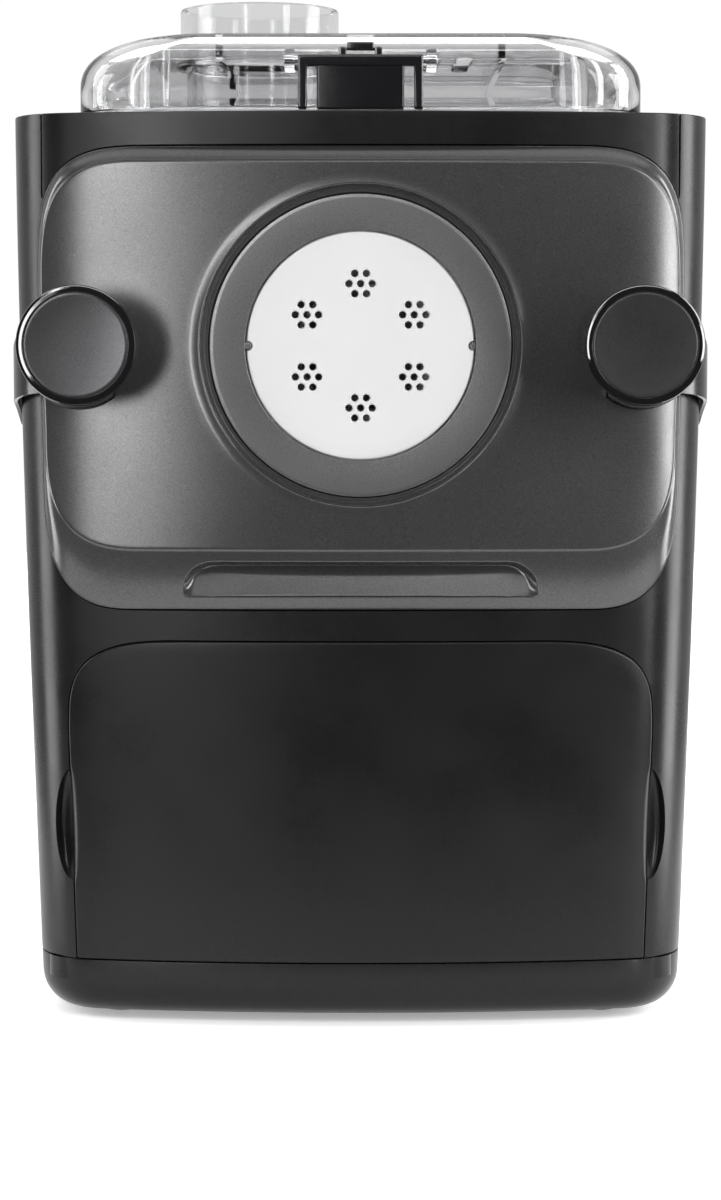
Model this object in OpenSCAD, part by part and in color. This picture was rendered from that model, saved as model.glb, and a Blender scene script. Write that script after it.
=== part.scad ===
// Electric pasta maker: black body, grey screw-on front panel with a shaping
// disc, clear mixing chamber and lid, front drawer, geared motor behind.
// Origin: centre of the footprint on the table. +X right, +Y to the rear, +Z up.

/* [Body] */
// Half width of the body at its top edge
half_w = 119; // [117:0.5:120]
// How much narrower each side is at the base seam
side_taper = 6.75; // [4:0.25:7]
// Front-most point of the body, on the centre line
body_front = -158; // [-159:0.5:-157]
// Rear face of the body
body_rear = 192; // [190:1:200]
// Height of the body's top edge
body_top = 311.3; // [311:0.1:314]
// Height of the seam between body and base pan
base_seam = 22.5; // [22:0.5:26]
// Radius of the bowed front in plan
bow_r = 800; // [700:10:900]
// Plan radius of the front corners
corner_r = 22; // [20:1:24]
// Wall thickness of the casings
wall = 3; // [2.5:0.1:3.5]

/* [Front panel] */
// Height of the extrusion axis
axis_z = 233; // [232:0.5:234]
// Front-most point of the panel
panel_front = -162; // [-162.5:0.1:-161.5]
// Lower and upper edges of the panel
panel_z0 = 143.8; // [143.5:0.1:145]
panel_z1 = 299.9; // [299.5:0.1:301]
// Clearance between panel and body
panel_gap = 0.4; // [0.3:0.1:0.6]
// Distance of each clamp knob from the centre
knob_x = 92.5; // [92:0.1:93]

/* [Shaping disc] */
// Radius of the white face
disc_r = 38.2; // [38:0.1:38.4]
// Radius of each strand hole
strand_r = 1.2; // [0.8:0.1:1.5]
// Radius on which the hole groups sit
group_r = 20.8; // [20:0.1:22]

/* [Drawer] */
// Upper edge of the drawer front
drawer_top = 133; // [132:0.1:135]
// Half width at the top and at the bottom
drawer_hw1 = 100; // [99:0.5:101]
drawer_hw0 = 97.7; // [97:0.1:98]

/* [Drive] */
// Backlash at the pitch circles
backlash = 0.3; // [0.2:0.05:0.4]
// Pressure angle of the gear teeth
press_a = 25; // [22:1:27]

/* [Hidden] */
$fn = 64;

// ---- outlines ----

// half width of the body at height z: a gentle convex taper
function half_at(z) =
  half_w - side_taper * pow(max(0, (312 - z) / 286), 1.5);

// plan outline: bowed front (radius b) blended into corner radius rc
function plan(w, yf, b, rc, yb, rb, nb = 12, nc = 6) =
  let (cx = w - rc, by = yf + b, cy = by - sqrt((b - rc) * (b - rc) - cx * cx),
       a = asin(cx / (b - rc)))
  concat(
    [for (i = [-nb:nb]) let (t = a * i / nb) [b * sin(t), by - b * cos(t)]],
    [for (i = [1:nc]) let (t = a + (90 - a) * i / nc)
      [cx + rc * sin(t), cy - rc * cos(t)]],
    [for (i = [0:nc]) let (t = 90 * i / nc)
      [w - rb + rb * cos(t), yb - rb + rb * sin(t)]],
    [for (i = [0:nc]) let (t = 90 + 90 * i / nc)
      [-w + rb + rb * cos(t), yb - rb + rb * sin(t)]],
    [for (i = [0:nc - 1]) let (t = -90 + (90 - a) * i / nc)
      [-cx + rc * sin(t), cy - rc * cos(t)]]);

// front outline: half widths h1 over h0, superelliptic corners
function face(h0, h1, z0, z1, at, bt, nt, ab, bb, nb, k = 9) =
  concat(
    [for (i = [0:k]) let (t = 90 * i / k)
      [h1 - at + at * pow(cos(t), 2 / nt), z1 - bt + bt * pow(sin(t), 2 / nt)]],
    [for (i = [0:k]) let (t = 90 + 90 * i / k)
      [-h1 + at - at * pow(-cos(t), 2 / nt), z1 - bt + bt * pow(sin(t), 2 / nt)]],
    [for (i = [0:k]) let (t = 90 * i / k)
      [-h0 + ab - ab * pow(cos(t), 2 / nb), z0 + bb - bb * pow(sin(t), 2 / nb)]],
    [for (i = [0:k]) let (t = 90 - 90 * i / k)
      [h0 - ab + ab * pow(cos(t), 2 / nb), z0 + bb - bb * pow(sin(t), 2 / nb)]]);

function panel_outline(g = 0) =
  face(107.8 + g, 109.7 + g, panel_z0 - g, panel_z1 + g,
       41.5, 48, 3.5, 32.6, 46, 3);
function drawer_outline(g = 0) =
  face(drawer_hw0 + g, drawer_hw1 + g, base_seam + 0.3 - g, drawer_top + g,
       45, 32, 3.4, 0.6, 0.6, 2);

module plan_slab(z, w, yf, b, rc, yb, rb)
  translate([0, 0, z]) linear_extrude(0.01) polygon(plan(w, yf, b, rc, yb, rb));
module yprism(y0, y1)
  translate([0, y1, 0]) rotate([90, 0, 0]) linear_extrude(y1 - y0) children();
module xprism(x0, x1)
  translate([x0, 0, 0]) rotate([90, 0, 90]) linear_extrude(x1 - x0) children();
module ycyl(r, y0, y1, x = 0, z = axis_z)
  translate([x, y1, z]) rotate([90, 0, 0]) cylinder(r = r, h = y1 - y0);
module xcyl(r, x0, x1, y, z)
  translate([x0, y, z]) rotate([0, 90, 0]) cylinder(r = r, h = x1 - x0);
module yturn(x = 0, z = axis_z)
  translate([x, 0, z]) rotate([90, 0, 0]) rotate_extrude() children();
module block(x0, x1, y0, y1, z0, z1)
  translate([x0, y0, z0]) cube([x1 - x0, y1 - y0, z1 - z0]);
module rrect(x0, x1, y0, y1, r) {
  translate([x0 + r, y0]) square([x1 - x0 - 2 * r, y1 - y0]);
  translate([x0, y0 + r]) square([x1 - x0, y1 - y0 - 2 * r]);
  for (x = [x0 + r, x1 - r], y = [y0 + r, y1 - r]) translate([x, y]) circle(r);
}
module slab(x0, x1, y0, y1, z0, z1, r)
  translate([0, 0, z0]) linear_extrude(z1 - z0) rrect(x0, x1, y0, y1, r);

// body skin, moved inward by e on the sides and rear and by f at the front
module body_form(e, f, b, rc, z0, z1)
  hull() for (i = [0:5]) let (z = z0 + (z1 - z0 - 0.01) * i / 5)
    plan_slab(z, half_at(z) - e, body_front + f, b, rc, body_rear - e,
              max(4, 18 - e));

// ---- casings ----

scoop_r = 37.3;
module finger_scoops()
  for (s = [-1, 1]) difference() {
    ycyl(scoop_r, -175, -145.2, s * 68.2, 69);
    block(min(s * 99, -s * 10), max(s * 99, -s * 10), -180, -140, 20, 120);
  }

module housing() color([0.09, 0.09, 0.1]) difference() {
  union() {
    difference() {
      body_form(0, 0, bow_r, corner_r, base_seam, body_top);
      body_form(wall, 15, 60000, 12, base_seam - 1, body_top + 1);
    }
    for (s = [-1, 1]) {
      block(min(s * 109, s * 117), max(s * 109, s * 117), -120, 170,
            304, 308.2);
      // drawer rail ledges
      block(min(s * 104, s * 113), max(s * 104, s * 113), -120, 5,
            80, 84);
    }
  }
  // front panel pocket, bezel bay, drawer mouth
  yprism(-175, -146) polygon(panel_outline(panel_gap));
  block(-108.15, 108.15, -175, -142.9, 283.9, 320);
  yprism(-175, -130) polygon(drawer_outline(0.5));
  finger_scoops();
  // extruder port and tie rod holes
  ycyl(46.4, -150, -135);
  for (s = [-1, 1]) ycyl(6.3, -150, -135, s * knob_x);
  // rear window
  yprism(180, 200) rrect(-92, 92, 42, 296, 8);
}

module front_bezel() color([0.09, 0.09, 0.1]) difference() {
  intersection() {
    body_form(0, 0, bow_r, corner_r, 280, body_top);
    block(-108, 108, -170, -143, 284, body_top);
  }
  yprism(-175, -146) polygon(panel_outline(panel_gap));
  block(-104, 104, -147, -142, 280, 297);
}

deck_z = 311.2;
module top_deck() color([0.1, 0.1, 0.11]) difference() {
  union() {
    translate([0, 0, deck_z - wall]) linear_extrude(wall)
      polygon(plan(115.6, -142.8, 60000, 12, 188.8, 14));
    // hinge posts
    for (s = [-1, 1], x = [58, 72]) translate([s * x - 2.5, 0, 0]) {
      block(0, 5, 37.2, 46.8, deck_z, 322);
      xcyl(5.3, 0, 5, 42, 322);
    }
    // bezel round the display
    slab(-58, 58, 88, 132, deck_z, deck_z + 1.2, 6);
    // collar under the dial and the buttons
    translate([78, 110, deck_z]) cylinder(r = 21, h = 1.2);
    translate([-78, 110, deck_z]) cylinder(r = 16, h = 1.2);
  }
  // chamber opening
  slab(-71, 71, -124.2, 20.2, deck_z - 10, deck_z + 10, 1);
  // display window
  slab(-52.2, 52.2, 93.8, 126.2, deck_z - 0.8, deck_z + 5, 3);
  slab(-46, 46, 99, 121, deck_z - 10, deck_z + 5, 2);
  // hinge pin bores
  for (s = [-1, 1]) xcyl(2.05, min(s * 50, s * 80), max(s * 50, s * 80), 42, 322);
  // dial spindle, start button, small buttons
  translate([78, 110, deck_z - 10]) cylinder(r = 4.3, h = 20);
  translate([-78, 110, deck_z - 10]) cylinder(r = 12.3, h = 20);
  for (x = [-24, 24]) translate([x, 152, deck_z - 10]) cylinder(r = 7.3, h = 20);
  // narrow air slots at the rear
  for (i = [-4:4]) slab(i * 9 - 1.6, i * 9 + 1.6, 168, 182, deck_z - 10, deck_z + 5, 1.5);
}

function pan_inset(z) = z < 15 ? 12 - sqrt(max(0, 144 - (15 - z) * (15 - z))) : 0;
module base_pan() color([0.09, 0.09, 0.1]) difference() {
  hull() for (z = [3, 3.6, 4.6, 6, 8.5, 11.5, 15, base_seam - 0.01])
    let (e = pan_inset(z))
      plan_slab(z, half_at(z) - e, body_front + e, bow_r, corner_r - e,
                body_rear - e, 18 - e);
  // inside
  slab(-99, 99, -143, 178, 6, 40, 6);
  slab(-108.5, 108.5, -148, 188.5, 15, 40, 10);
  // feet sockets, screw bores, air slots under the motor
  for (s = [-1, 1], y = [-122, 158]) translate([s * 84, y, 0]) {
    translate([0, 0, 2]) cylinder(r = 9, h = 2.2);
    cylinder(r = 3, h = 20);
  }
  for (s = [-1, 1], y = [-90, 120]) translate([s * 92, y, 0]) {
    translate([0, 0, 2]) cylinder(r = 4.2, h = 2.5);
    cylinder(r = 1.75, h = 20);
  }
  for (i = [-5:5]) slab(i * 8 - 2, i * 8 + 2, 96, 140, 0, 20, 1.9);
}

module rear_cover() color([0.11, 0.11, 0.12]) difference() {
  union() {
    yprism(188.6, 192) rrect(-91.7, 91.7, 42.3, 295.7, 7.7);
    yprism(186, 188.6) rrect(-96.5, 96.5, 36, 302, 12);
    // switch well
    block(-84, -52, 176, 190, 49, 81);
    for (s = [-1, 1], z = [94, 286]) ycyl(4, 170, 187, s * 84, z);
  }
  // louvres behind the fan and above it
  for (i = [0:8]) yprism(170, 200) rrect(-52, 40, 128 + i * 9, 132 + i * 9, 1.9);
  for (i = [0:4]) yprism(170, 200) rrect(-70, 70, 236 + i * 9, 240 + i * 9, 1.9);
  // appliance inlet
  yprism(170, 200) rrect(50.2, 81.8, 53.2, 76.8, 2);
  // switch well
  block(-80.2, -55.8, 178, 200, 52.8, 77.2);
  // screw bores
  for (s = [-1, 1], z = [94, 286]) {
    ycyl(1.75, 160, 200, s * 84, z);
    ycyl(4.2, 189.7, 200, s * 84, z);
  }
}

module rubber_feet() color([0.05, 0.05, 0.05])
  for (s = [-1, 1], y = [-122, 158]) translate([s * 84, y, 0]) {
    cylinder(r = 9, h = 4.2);
    cylinder(r = 3, h = 7.5);
    translate([0, 0, 6]) cylinder(r1 = 4, r2 = 2.4, h = 3);
  }

// self-tapping screw, head at z = 0, shank up
module tapping_screw() difference() {
  union() {
    cylinder(r = 3.8, h = 2);
    cylinder(r = 1.7, h = 14);
  }
  for (a = [0, 90]) rotate(a) translate([-2, -0.4, -1]) cube([4, 0.8, 2]);
}
module case_screws() color([0.7, 0.7, 0.72]) {
  for (s = [-1, 1], y = [-90, 120]) translate([s * 92, y, 2.5]) tapping_screw();
  for (s = [-1, 1], z = [94, 286]) translate([s * 84, 191.8, z])
    rotate([90, 0, 0]) tapping_screw();
}

// ---- front frame ----

module front_bulkhead() color([0.72, 0.73, 0.75]) difference() {
  yprism(-142.8, -139) rrect(-103, 103, 150, 296, 8);
  ycyl(46.4, -150, -130);
  for (s = [-1, 1]) {
    ycyl(6, -150, -130, s * knob_x);
    for (z = [158, 288]) ycyl(2.2, -150, -130, s * 94, z);
    yprism(-150, -130) rrect(s * 70 - 12, s * 70 + 12, 166, 186, 4);
  }
}

module tie_rods() color([0.78, 0.79, 0.8])
  for (s = [-1, 1]) yturn(s * knob_x)
    polygon([[0, 135], [11, 135], [11, 139], [6, 139], [6, 182], [5, 184], [0, 184]]);

// ---- mixing and extruding ----

module chamber_form(r, y0, y1, zt)
  yprism(y0, y1) {
    translate([0, axis_z]) circle(r, $fn = 96);
    translate([-r, axis_z]) square([2 * r, zt - axis_z]);
  }
module mixing_chamber() color([0.8, 0.86, 0.9, 0.35]) difference() {
  union() {
    chamber_form(69, -123, 19, deck_z + 1);
    slab(-80, 80, -132, 28, deck_z, deck_z + 2, 14);
    ycyl(31, -128, -122);
    ycyl(15, 18, 21.5);
  }
  chamber_form(66, -120, 16, 330);
  ycyl(27.2, -140, -110);
  ycyl(11, 10, 30);
}

module extruder_tube() color([0.9, 0.9, 0.9]) yturn()
  polygon([[22, 118], [27, 118], [27, 132], [29, 133], [29, 143.5], [44, 145],
           [44, 150], [31, 150], [31, 147], [24, 145], [22, 143]]);

module extrusion_screw() color([0.93, 0.93, 0.92]) {
  difference() {
    union() {
      ycyl(9, -143, -58);
      yturn() polygon([[0, 143], [9, 143], [6, 146.4], [0, 146.4]]);
    }
    // square socket for the shaft
    block(-4.05, 4.05, -86, -50, axis_z - 4.05, axis_z + 4.05);
  }
  translate([0, -60, axis_z]) rotate([90, 0, 0])
    linear_extrude(height = 82, twist = -1160, slices = 66, segments = 7)
      polygon(concat([for (t = [-26, 0, 26]) [8.6 * cos(t), 8.6 * sin(t)]],
                     [for (t = [20, 7, -7, -20]) [21.4 * cos(t), 21.4 * sin(t)]]));
}

module mixing_paddle() color([0.93, 0.93, 0.92]) difference() {
  union() {
    ycyl(11, -57.5, 13);
    for (a = [0, 180]) translate([0, 0, axis_z]) rotate([0, a, 0]) {
      for (y = [-52, -24, 4]) block(-4, 4, y - 3, y + 3, 8, 56);
      block(-5, 5, -57, 9, 53, 60);
    }
    for (a = [90, 270]) translate([0, 0, axis_z]) rotate([0, a, 0]) {
      for (y = [-38, -10]) block(-3, 3, y - 3, y + 3, 8, 48);
      xcyl(4, -3, 3, -38, 48);
      xcyl(4, -3, 3, -10, 48);
    }
  }
  block(-4.05, 4.05, -60, -8, axis_z - 4.05, axis_z + 4.05);
  ycyl(6, -8, 20);
}

module drive_shaft() color([0.75, 0.76, 0.78]) {
  ycyl(6, -8, 69);
  block(-4, 4, -84, -7.9, axis_z - 4, axis_z + 4);
}

module shaft_seal() color([0.75, 0.25, 0.15]) yturn() polygon(
  [[6.05, -15.5], [11, -15.5], [11, -20], [9, -21], [6.05, -21]]);

// ---- drive ----

module shaft_bearings() color([0.7, 0.71, 0.73]) {
  difference() { ycyl(13, 23, 30); ycyl(6.04, 20, 40); }
  difference() { ycyl(13, 62, 69); ycyl(6.04, 60, 80); }
}

idler = [-36, axis_z - 48];
motor = [idler[0] + 30, idler[1] - 22.5];

module gearbox_case() color([0.62, 0.63, 0.65]) difference() {
  union() {
    difference() {
      yprism(26, 64) rrect(-73, 57, 147, 291, 8);
      yprism(30, 70) rrect(-69, 53, 151, 287, 5);
    }
    for (x = [-65, 49], z = [155, 283]) ycyl(5.5, 28, 64, x, z);
    ycyl(17, 22.5, 30);
    ycyl(8, 28, 31.5, idler[0], idler[1]);
  }
  ycyl(13, 20, 40);
  ycyl(4, 20, 40, idler[0], idler[1]);
  for (x = [-65, 49], z = [155, 283]) ycyl(2, 50, 70, x, z);
}

module gearbox_plate() color([0.66, 0.67, 0.69]) difference() {
  union() {
    yprism(64, 68) rrect(-73, 57, 147, 291, 8);
    ycyl(17, 62, 71);
  }
  ycyl(13, 60, 80);
  ycyl(4, 60, 80, idler[0], idler[1]);
  ycyl(9.5, 60, 80, motor[0], motor[1]);
  for (x = [-65, 49], z = [155, 283]) ycyl(2, 60, 80, x, z);
  for (x = [-32, 32], z = [-32, 32]) ycyl(2, 60, 80, motor[0] + x, motor[1] + z);
}

function inv_deg(a) = tan(a) * 180 / PI - a;
// involute tooth outline: n teeth of module m, one tooth centred on angle a0
function gear(n, m, a0, bl) =
  let (rp = n * m / 2, rb = rp * cos(press_a), ra = rp + 0.95 * m,
       rr = rp - 1.25 * m, r0 = max(rb, rr + 0.05),
       hp = 90 / n - bl / 2 / rp * 180 / PI,
       h = [for (i = [0:3]) let (r = r0 + (ra - r0) * i / 3)
         [r, hp + inv_deg(press_a) - inv_deg(acos(min(1, rb / r)))]])
  [for (k = [0:n - 1]) let (c = a0 + 360 * k / n) each concat(
    [[rr * cos(c - h[0][1] - 20 / n), rr * sin(c - h[0][1] - 20 / n)]],
    [for (q = h) [q[0] * cos(c - q[1]), q[0] * sin(c - q[1])]],
    [for (i = [3:-1:0]) [h[i][0] * cos(c + h[i][1]), h[i][0] * sin(c + h[i][1])]],
    [[rr * cos(c + h[0][1] + 20 / n), rr * sin(c + h[0][1] + 20 / n)]])];

// direction from the output axis to the idler and from the idler to the motor
dir1 = atan2(idler[1] - axis_z, idler[0]);
dir2 = atan2(motor[1] - idler[1], motor[0] - idler[0]);

// the gear outline is drawn round the origin, so it is carried to its axis
module gear_at(c, y0, y1) translate([c[0], 0, c[1]]) yprism(y0, y1) children();

module output_gear() color([0.9, 0.88, 0.8]) difference() {
  union() {
    gear_at([0, axis_z], 34, 45) polygon(gear(48, 2, dir1, backlash));
    ycyl(14, 32.5, 48);
  }
  ycyl(6, 20, 60);
  for (a = [0:60:300]) ycyl(8, 20, 60, 30 * cos(a), axis_z + 30 * sin(a));
}
module idler_gear() color([0.9, 0.88, 0.8]) difference() {
  union() {
    gear_at(idler, 33, 47) polygon(gear(12, 2, dir1 + 180 + 15, backlash));
    gear_at(idler, 50, 60) polygon(gear(48, 1.25, dir2, backlash * 0.8));
    ycyl(8.2, 32, 62, idler[0], idler[1]);
  }
  ycyl(4.05, 20, 80, idler[0], idler[1]);
  for (a = [0:60:300])
    ycyl(4.5, 48, 80, idler[0] + 18.5 * cos(a), idler[1] + 18.5 * sin(a));
}

module idler_axle() color([0.75, 0.76, 0.78])
  ycyl(4, 26, 68, idler[0], idler[1]);

module motor_pinion() color([0.78, 0.7, 0.45]) difference() {
  gear_at(motor, 50, 60)
    polygon(gear(12, 1.25, dir2 + 180 + 15, backlash * 0.8));
  ycyl(3, 40, 70, motor[0], motor[1]);
}

module motor_can() color([0.55, 0.56, 0.58]) difference() {
  union() {
    ycyl(38, 68, 156, motor[0], motor[1]);
    yprism(68, 72) translate([motor[0], motor[1]]) rrect(-39, 39, -39, 39, 8);
    ycyl(13, 156, 160, motor[0], motor[1]);
  }
  ycyl(26.5, 76, 150, motor[0], motor[1]);
  ycyl(3.05, 60, 170, motor[0], motor[1]);
  ycyl(9.5, 66, 71, motor[0], motor[1]);
  for (x = [-32, 32], z = [-32, 32]) ycyl(2, 60, 80, motor[0] + x, motor[1] + z);
  // room for the screw heads
  for (x = [-32, 32], z = [-32, 32])
    ycyl(4, 72, 90, motor[0] + x, motor[1] + z);
  for (a = [0:30:330]) ycyl(2.5, 74, 170, motor[0] + 33 * cos(a), motor[1] + 33 * sin(a));
}

module motor_rotor() color([0.5, 0.45, 0.4]) {
  ycyl(3, 49, 174, motor[0], motor[1]);
  ycyl(26, 84, 142, motor[0], motor[1]);
}

module cooling_fan() color([0.2, 0.2, 0.22]) difference() {
  union() {
    ycyl(11, 162, 173, motor[0], motor[1]);
    translate([motor[0], 0, motor[1]]) for (a = [0:40:320]) rotate([0, a, 0])
      translate([0, 167.5, 0]) rotate([0, 0, 32]) block(-1, 1, -5, 5, 9, 34);
  }
  ycyl(3, 150, 180, motor[0], motor[1]);
}

// machine screw, underside of the head at y = 0, shank towards -Y
module machine_screw(l) difference() {
  union() { ycyl(3.5, 0, 2.5, 0, 0); ycyl(2, -l, 0, 0, 0); }
  rotate([-90, 0, 0]) translate([0, 0, 1.3]) cylinder(r = 1.8, h = 3, $fn = 6);
}
module drive_screws() color([0.7, 0.7, 0.72]) {
  for (x = [-65, 49], z = [155, 283]) translate([x, 68, z]) machine_screw(12);
  for (x = [-32, 32], z = [-32, 32])
    translate([motor[0] + x, 72, motor[1] + z]) machine_screw(8.5);
}

module gearbox_bracket() color([0.7, 0.71, 0.73]) difference() {
  union() {
    block(-73, 57, 22, 76, 6, 9);
    block(-73, -70, 26, 64, 6, 147);
    block(54, 57, 26, 64, 6, 147);
    block(-73, 57, 26, 64, 144, 147);
  }
  for (x = [-50, 34]) translate([x, 49, 0]) cylinder(r = 2.2, h = 20);
  xprism(-80, 70) rrect(34, 56, 30, 130, 6);
}

// ---- electronics ----

module board(x0, x1, y0, y1, z) block(x0, x1, y0, y1, z, z + 1.6);
module control_board() color([0.1, 0.35, 0.18]) {
  difference() {
    board(-92, 96, 86, 164, 292);
    for (s = [-1, 1], y = [92, 158]) translate([s * 84, y, 290]) cylinder(r = 1.7, h = 6);
  }
  block(-48, 48, 97, 123, 293.6, 304);
  translate([78, 110, 293.6]) cylinder(r = 9, h = 7);
  translate([-78, 110, 293.6]) cylinder(r = 4, h = 3.5);
  for (x = [-24, 24]) translate([x, 152, 293.6]) cylinder(r = 3, h = 3.5);
  block(60, 84, 134, 146, 293.6, 298);
}
module power_board() color([0.12, 0.38, 0.2]) {
  difference() {
    board(-88, 88, 84, 172, 14);
    for (s = [-1, 1], y = [90, 166]) translate([s * 80, y, 10]) cylinder(r = 1.7, h = 10);
  }
  for (x = [-82, -58]) translate([x, 104, 15.6]) cylinder(r = 10, h = 26);
  block(-34, 0, 92, 122, 15.6, 42);
  block(10, 40, 90, 94, 15.6, 48);
  block(56, 84, 96, 128, 15.6, 38);
  for (s = [-1, 1], y = [90, 166]) translate([s * 80, y, 6]) difference() {
    cylinder(r = 3.5, h = 8);
    translate([0, 0, -1]) cylinder(r = 1.2, h = 12);
  }
}
module display_lens() color([0.02, 0.02, 0.03])
  slab(-52, 52, 94, 126, deck_z - 0.8, deck_z + 1.2, 3);

module control_dial() color([0.16, 0.16, 0.17]) {
  difference() {
    union() {
      translate([78, 110, deck_z + 1.6]) cylinder(r = 17.5, h = 9.4);
      translate([78, 110, deck_z + 1.6]) cylinder(r = 18.2, h = 3);
    }
    // pointer notch
    block(77.2, 78.8, 94, 103, deck_z + 10.2, deck_z + 12);
    for (a = [0:15:345]) translate([78 + 18.6 * cos(a), 110 + 18.6 * sin(a), deck_z + 5])
      cylinder(r = 1.5, h = 7);
  }
  translate([78, 110, 301]) cylinder(r = 4, h = 12);
}
module push_key(x, y, r, h) translate([x, y, 0]) {
  translate([0, 0, 306]) cylinder(r = r, h = deck_z + h - 306);
  translate([0, 0, 304]) cylinder(r = r + 1.5, h = 2.4);
  translate([0, 0, 298.6]) cylinder(r = 2.5, h = 6);
}
module start_button() color([0.8, 0.8, 0.82]) push_key(-78, 110, 12, 4);
module timer_button() color([0.25, 0.25, 0.27]) push_key(-24, 152, 7, 1.8);
module mode_button() color([0.25, 0.25, 0.27]) push_key(24, 152, 7, 1.8);

// rocker: pivots about X in the well of the rear cover
module power_switch() color([0.06, 0.06, 0.07]) {
  difference() {
    xcyl(10.4, -79.8, -56.2, 181.5, 65);
    block(-85, -50, 160, 184, 40, 90);
    translate([-90, 191.4, 65]) rotate([20, 0, 0]) cube([50, 10, 20]);
  }
  xcyl(1.6, -79.8, -56.2, 183.6, 65);
}

module inlet_socket() color([0.07, 0.07, 0.08]) {
  difference() {
    union() {
      yprism(168, 192) rrect(50.4, 81.6, 53.4, 76.6, 2);
      yprism(183, 186) rrect(46, 86, 50, 80, 3);
    }
    yprism(173, 200) rrect(54, 78, 56.5, 73.5, 3);
  }
  for (p = [[-7, 1.5], [0, -2.5], [7, 1.5]])
    block(64 + p[0], 68 + p[0], 164, 186, 64 + p[1], 66 + p[1]);
}

// ---- drawer ----

module drawer_front() color([0.1, 0.1, 0.11]) intersection() {
  yprism(-170, -146) polygon(drawer_outline());
  translate([0, 0, 20]) linear_extrude(130)
    polygon(plan(115, body_front, bow_r, corner_r, 0, 8, 16, 6));
}
module drawer_tray() color([0.16, 0.16, 0.17]) difference() {
  union() {
    slab(-92, 92, -146, -14, 29, 118, 3);
    for (s = [-1, 1]) block(min(s * 90, s * 98), max(s * 90, s * 98), -140, -14, 100, 103);
  }
  slab(-89.5, 89.5, -143.5, -16.5, 31.5, 130, 3);
  slab(-93, 93, -130, -30, 112, 130, 8);
}
module drawer_divider() color([0.2, 0.2, 0.21]) {
  block(2, 4.5, -143.2, -16.8, 31.5, 96);
  block(-86, 3, -122, -38, 31.5, 33);
  // cradle ribs that hold the discs upright
  for (x = [-83, -65, -47, -29, -11])
    difference() {
      block(x - 1.5, x + 1.5, -122, -38, 31.5, 58);
      xcyl(36, x - 4, x + 4, -80, 81);
    }
}
module loose_disc(x, kind) difference() {
  union() {
    xcyl(37.8, x - 3.5, x + 3.5, -80, 71.1);
    xcyl(34, x - 6.5, x + 6.5, -80, 71.1);
  }
  if (kind == 0) for (a = [0:45:315])
    xcyl(4, x - 9, x + 9, -80 + 20 * cos(a), 71.1 + 20 * sin(a));
  if (kind == 1) for (a = [-2:2])
    block(x - 9, x + 9, -96, -64, 70.1 + a * 9, 72.1 + a * 9);
  if (kind == 2) for (a = [0:60:300])
    translate([x, -80, 71.1]) rotate([a, 0, 0]) block(-9, 9, -5, 5, 14, 17);
  if (kind == 3) for (a = [0:90:270])
    xcyl(5, x - 9, x + 9, -80 + 17 * cos(a), 71.1 + 17 * sin(a));
}
module stored_discs() color([0.93, 0.93, 0.92])
  for (i = [0:3]) loose_disc(-74 + 18 * i, i);

module drawer_rails() color([0.7, 0.71, 0.73]) for (s = [-1, 1]) {
  block(min(s * 92.6, s * 108), max(s * 92.6, s * 108), -120, 4, 96.6, 99.6);
  block(min(s * 105, s * 108), max(s * 105, s * 108), -120, 4, 84, 99.6);
  block(min(s * 92.6, s * 95), max(s * 92.6, s * 95), -4, 4, 99.6, 108);
}

// ---- front panel ----

module panel_form()
  hull() {
    intersection() {
      yprism(-170, -146.3) polygon(panel_outline());
      translate([0, 0, 130]) linear_extrude(180)
        polygon(plan(118.4, -156.8, bow_r, 20, 0, 8, 12, 6));
    }
    intersection() {
      yprism(-170, -150) polygon(face(106.6, 108.4, 163.5, 294.9,
        36, 44, 3.2, 34, 28, 2.8));
      translate([0, 0, 130]) linear_extrude(180)
        polygon(plan(118.4, panel_front, bow_r, 24, 0, 8, 12, 6));
    }
  }
ring_r = 50.2;
module front_panel() color([0.36, 0.36, 0.37]) difference() {
  union() {
    difference() {
      panel_form();
      // hollow back
      intersection() {
        yprism(-170, -140) polygon(face(98, 100, 172, 292, 30, 36, 3, 24, 26, 3));
        translate([0, panel_front + bow_r, 150]) cylinder(r = bow_r - 4, h = 150, $fn = 256);
      }
    }
    // ring boss and knob bosses, and the raised rim round the ring
    ycyl(62, -158.4, -149.8);
    intersection() {
      for (s = [-1, 1]) ycyl(20, -156, -146.3, s * knob_x);
      block(-105, 105, -160, -140, 200, 260);
    }
    yturn() polygon([[53.2, 158], [57.8, 158], [57.5, 161], [56.3, 162.3],
                     [54.9, 162.5], [53.9, 161.8]]);
  }
  // groove, ring seat and disc opening
  yturn() polygon([[ring_r + 0.2, 157], [53.4, 157], [53.9, 161.6], [53.9, 166],
                   [0, 166], [0, 156.4], [ring_r + 0.2, 156.4]]);
  ycyl(ring_r, -157.5, -152);
  ycyl(46, -160, -140);
  // knob recesses and rod holes
  for (s = [-1, 1]) {
    intersection() {
      ycyl(21.2, -170, -153.5, s * knob_x);
      block(min(s * 82.8, s * 120), max(s * 82.8, s * 120), -180, -140, 200, 260);
    }
    ycyl(6.35, -170, -140, s * knob_x);
  }
  // grip recess in the lower band
  yprism(-175, -152.6) {
    translate([-60, 148.3]) square([120, 2]);
    translate([-60, 148.3]) square([120, 0.2]);
    rrect(-60, 60, 148.3, 160.5, 6);
  }
}

module panel_backing() color([0.72, 0.73, 0.75]) difference() {
  yprism(-149.6, -147.4) polygon(face(96.5, 98.5, 173.5, 290.5, 30, 36, 3, 24, 26, 3));
  ycyl(46, -160, -140);
  for (s = [-1, 1]) ycyl(20.3, -160, -140, s * knob_x);
}

module disc_ring() color([0.36, 0.36, 0.37]) yturn() polygon(
  [[38.5, 158.2], [38.5, 160], [39, 160.4], [49.4, 160.4], [50.2, 159.6],
   [50.2, 152], [42.6, 152], [42.6, 158.2]]);

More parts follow.
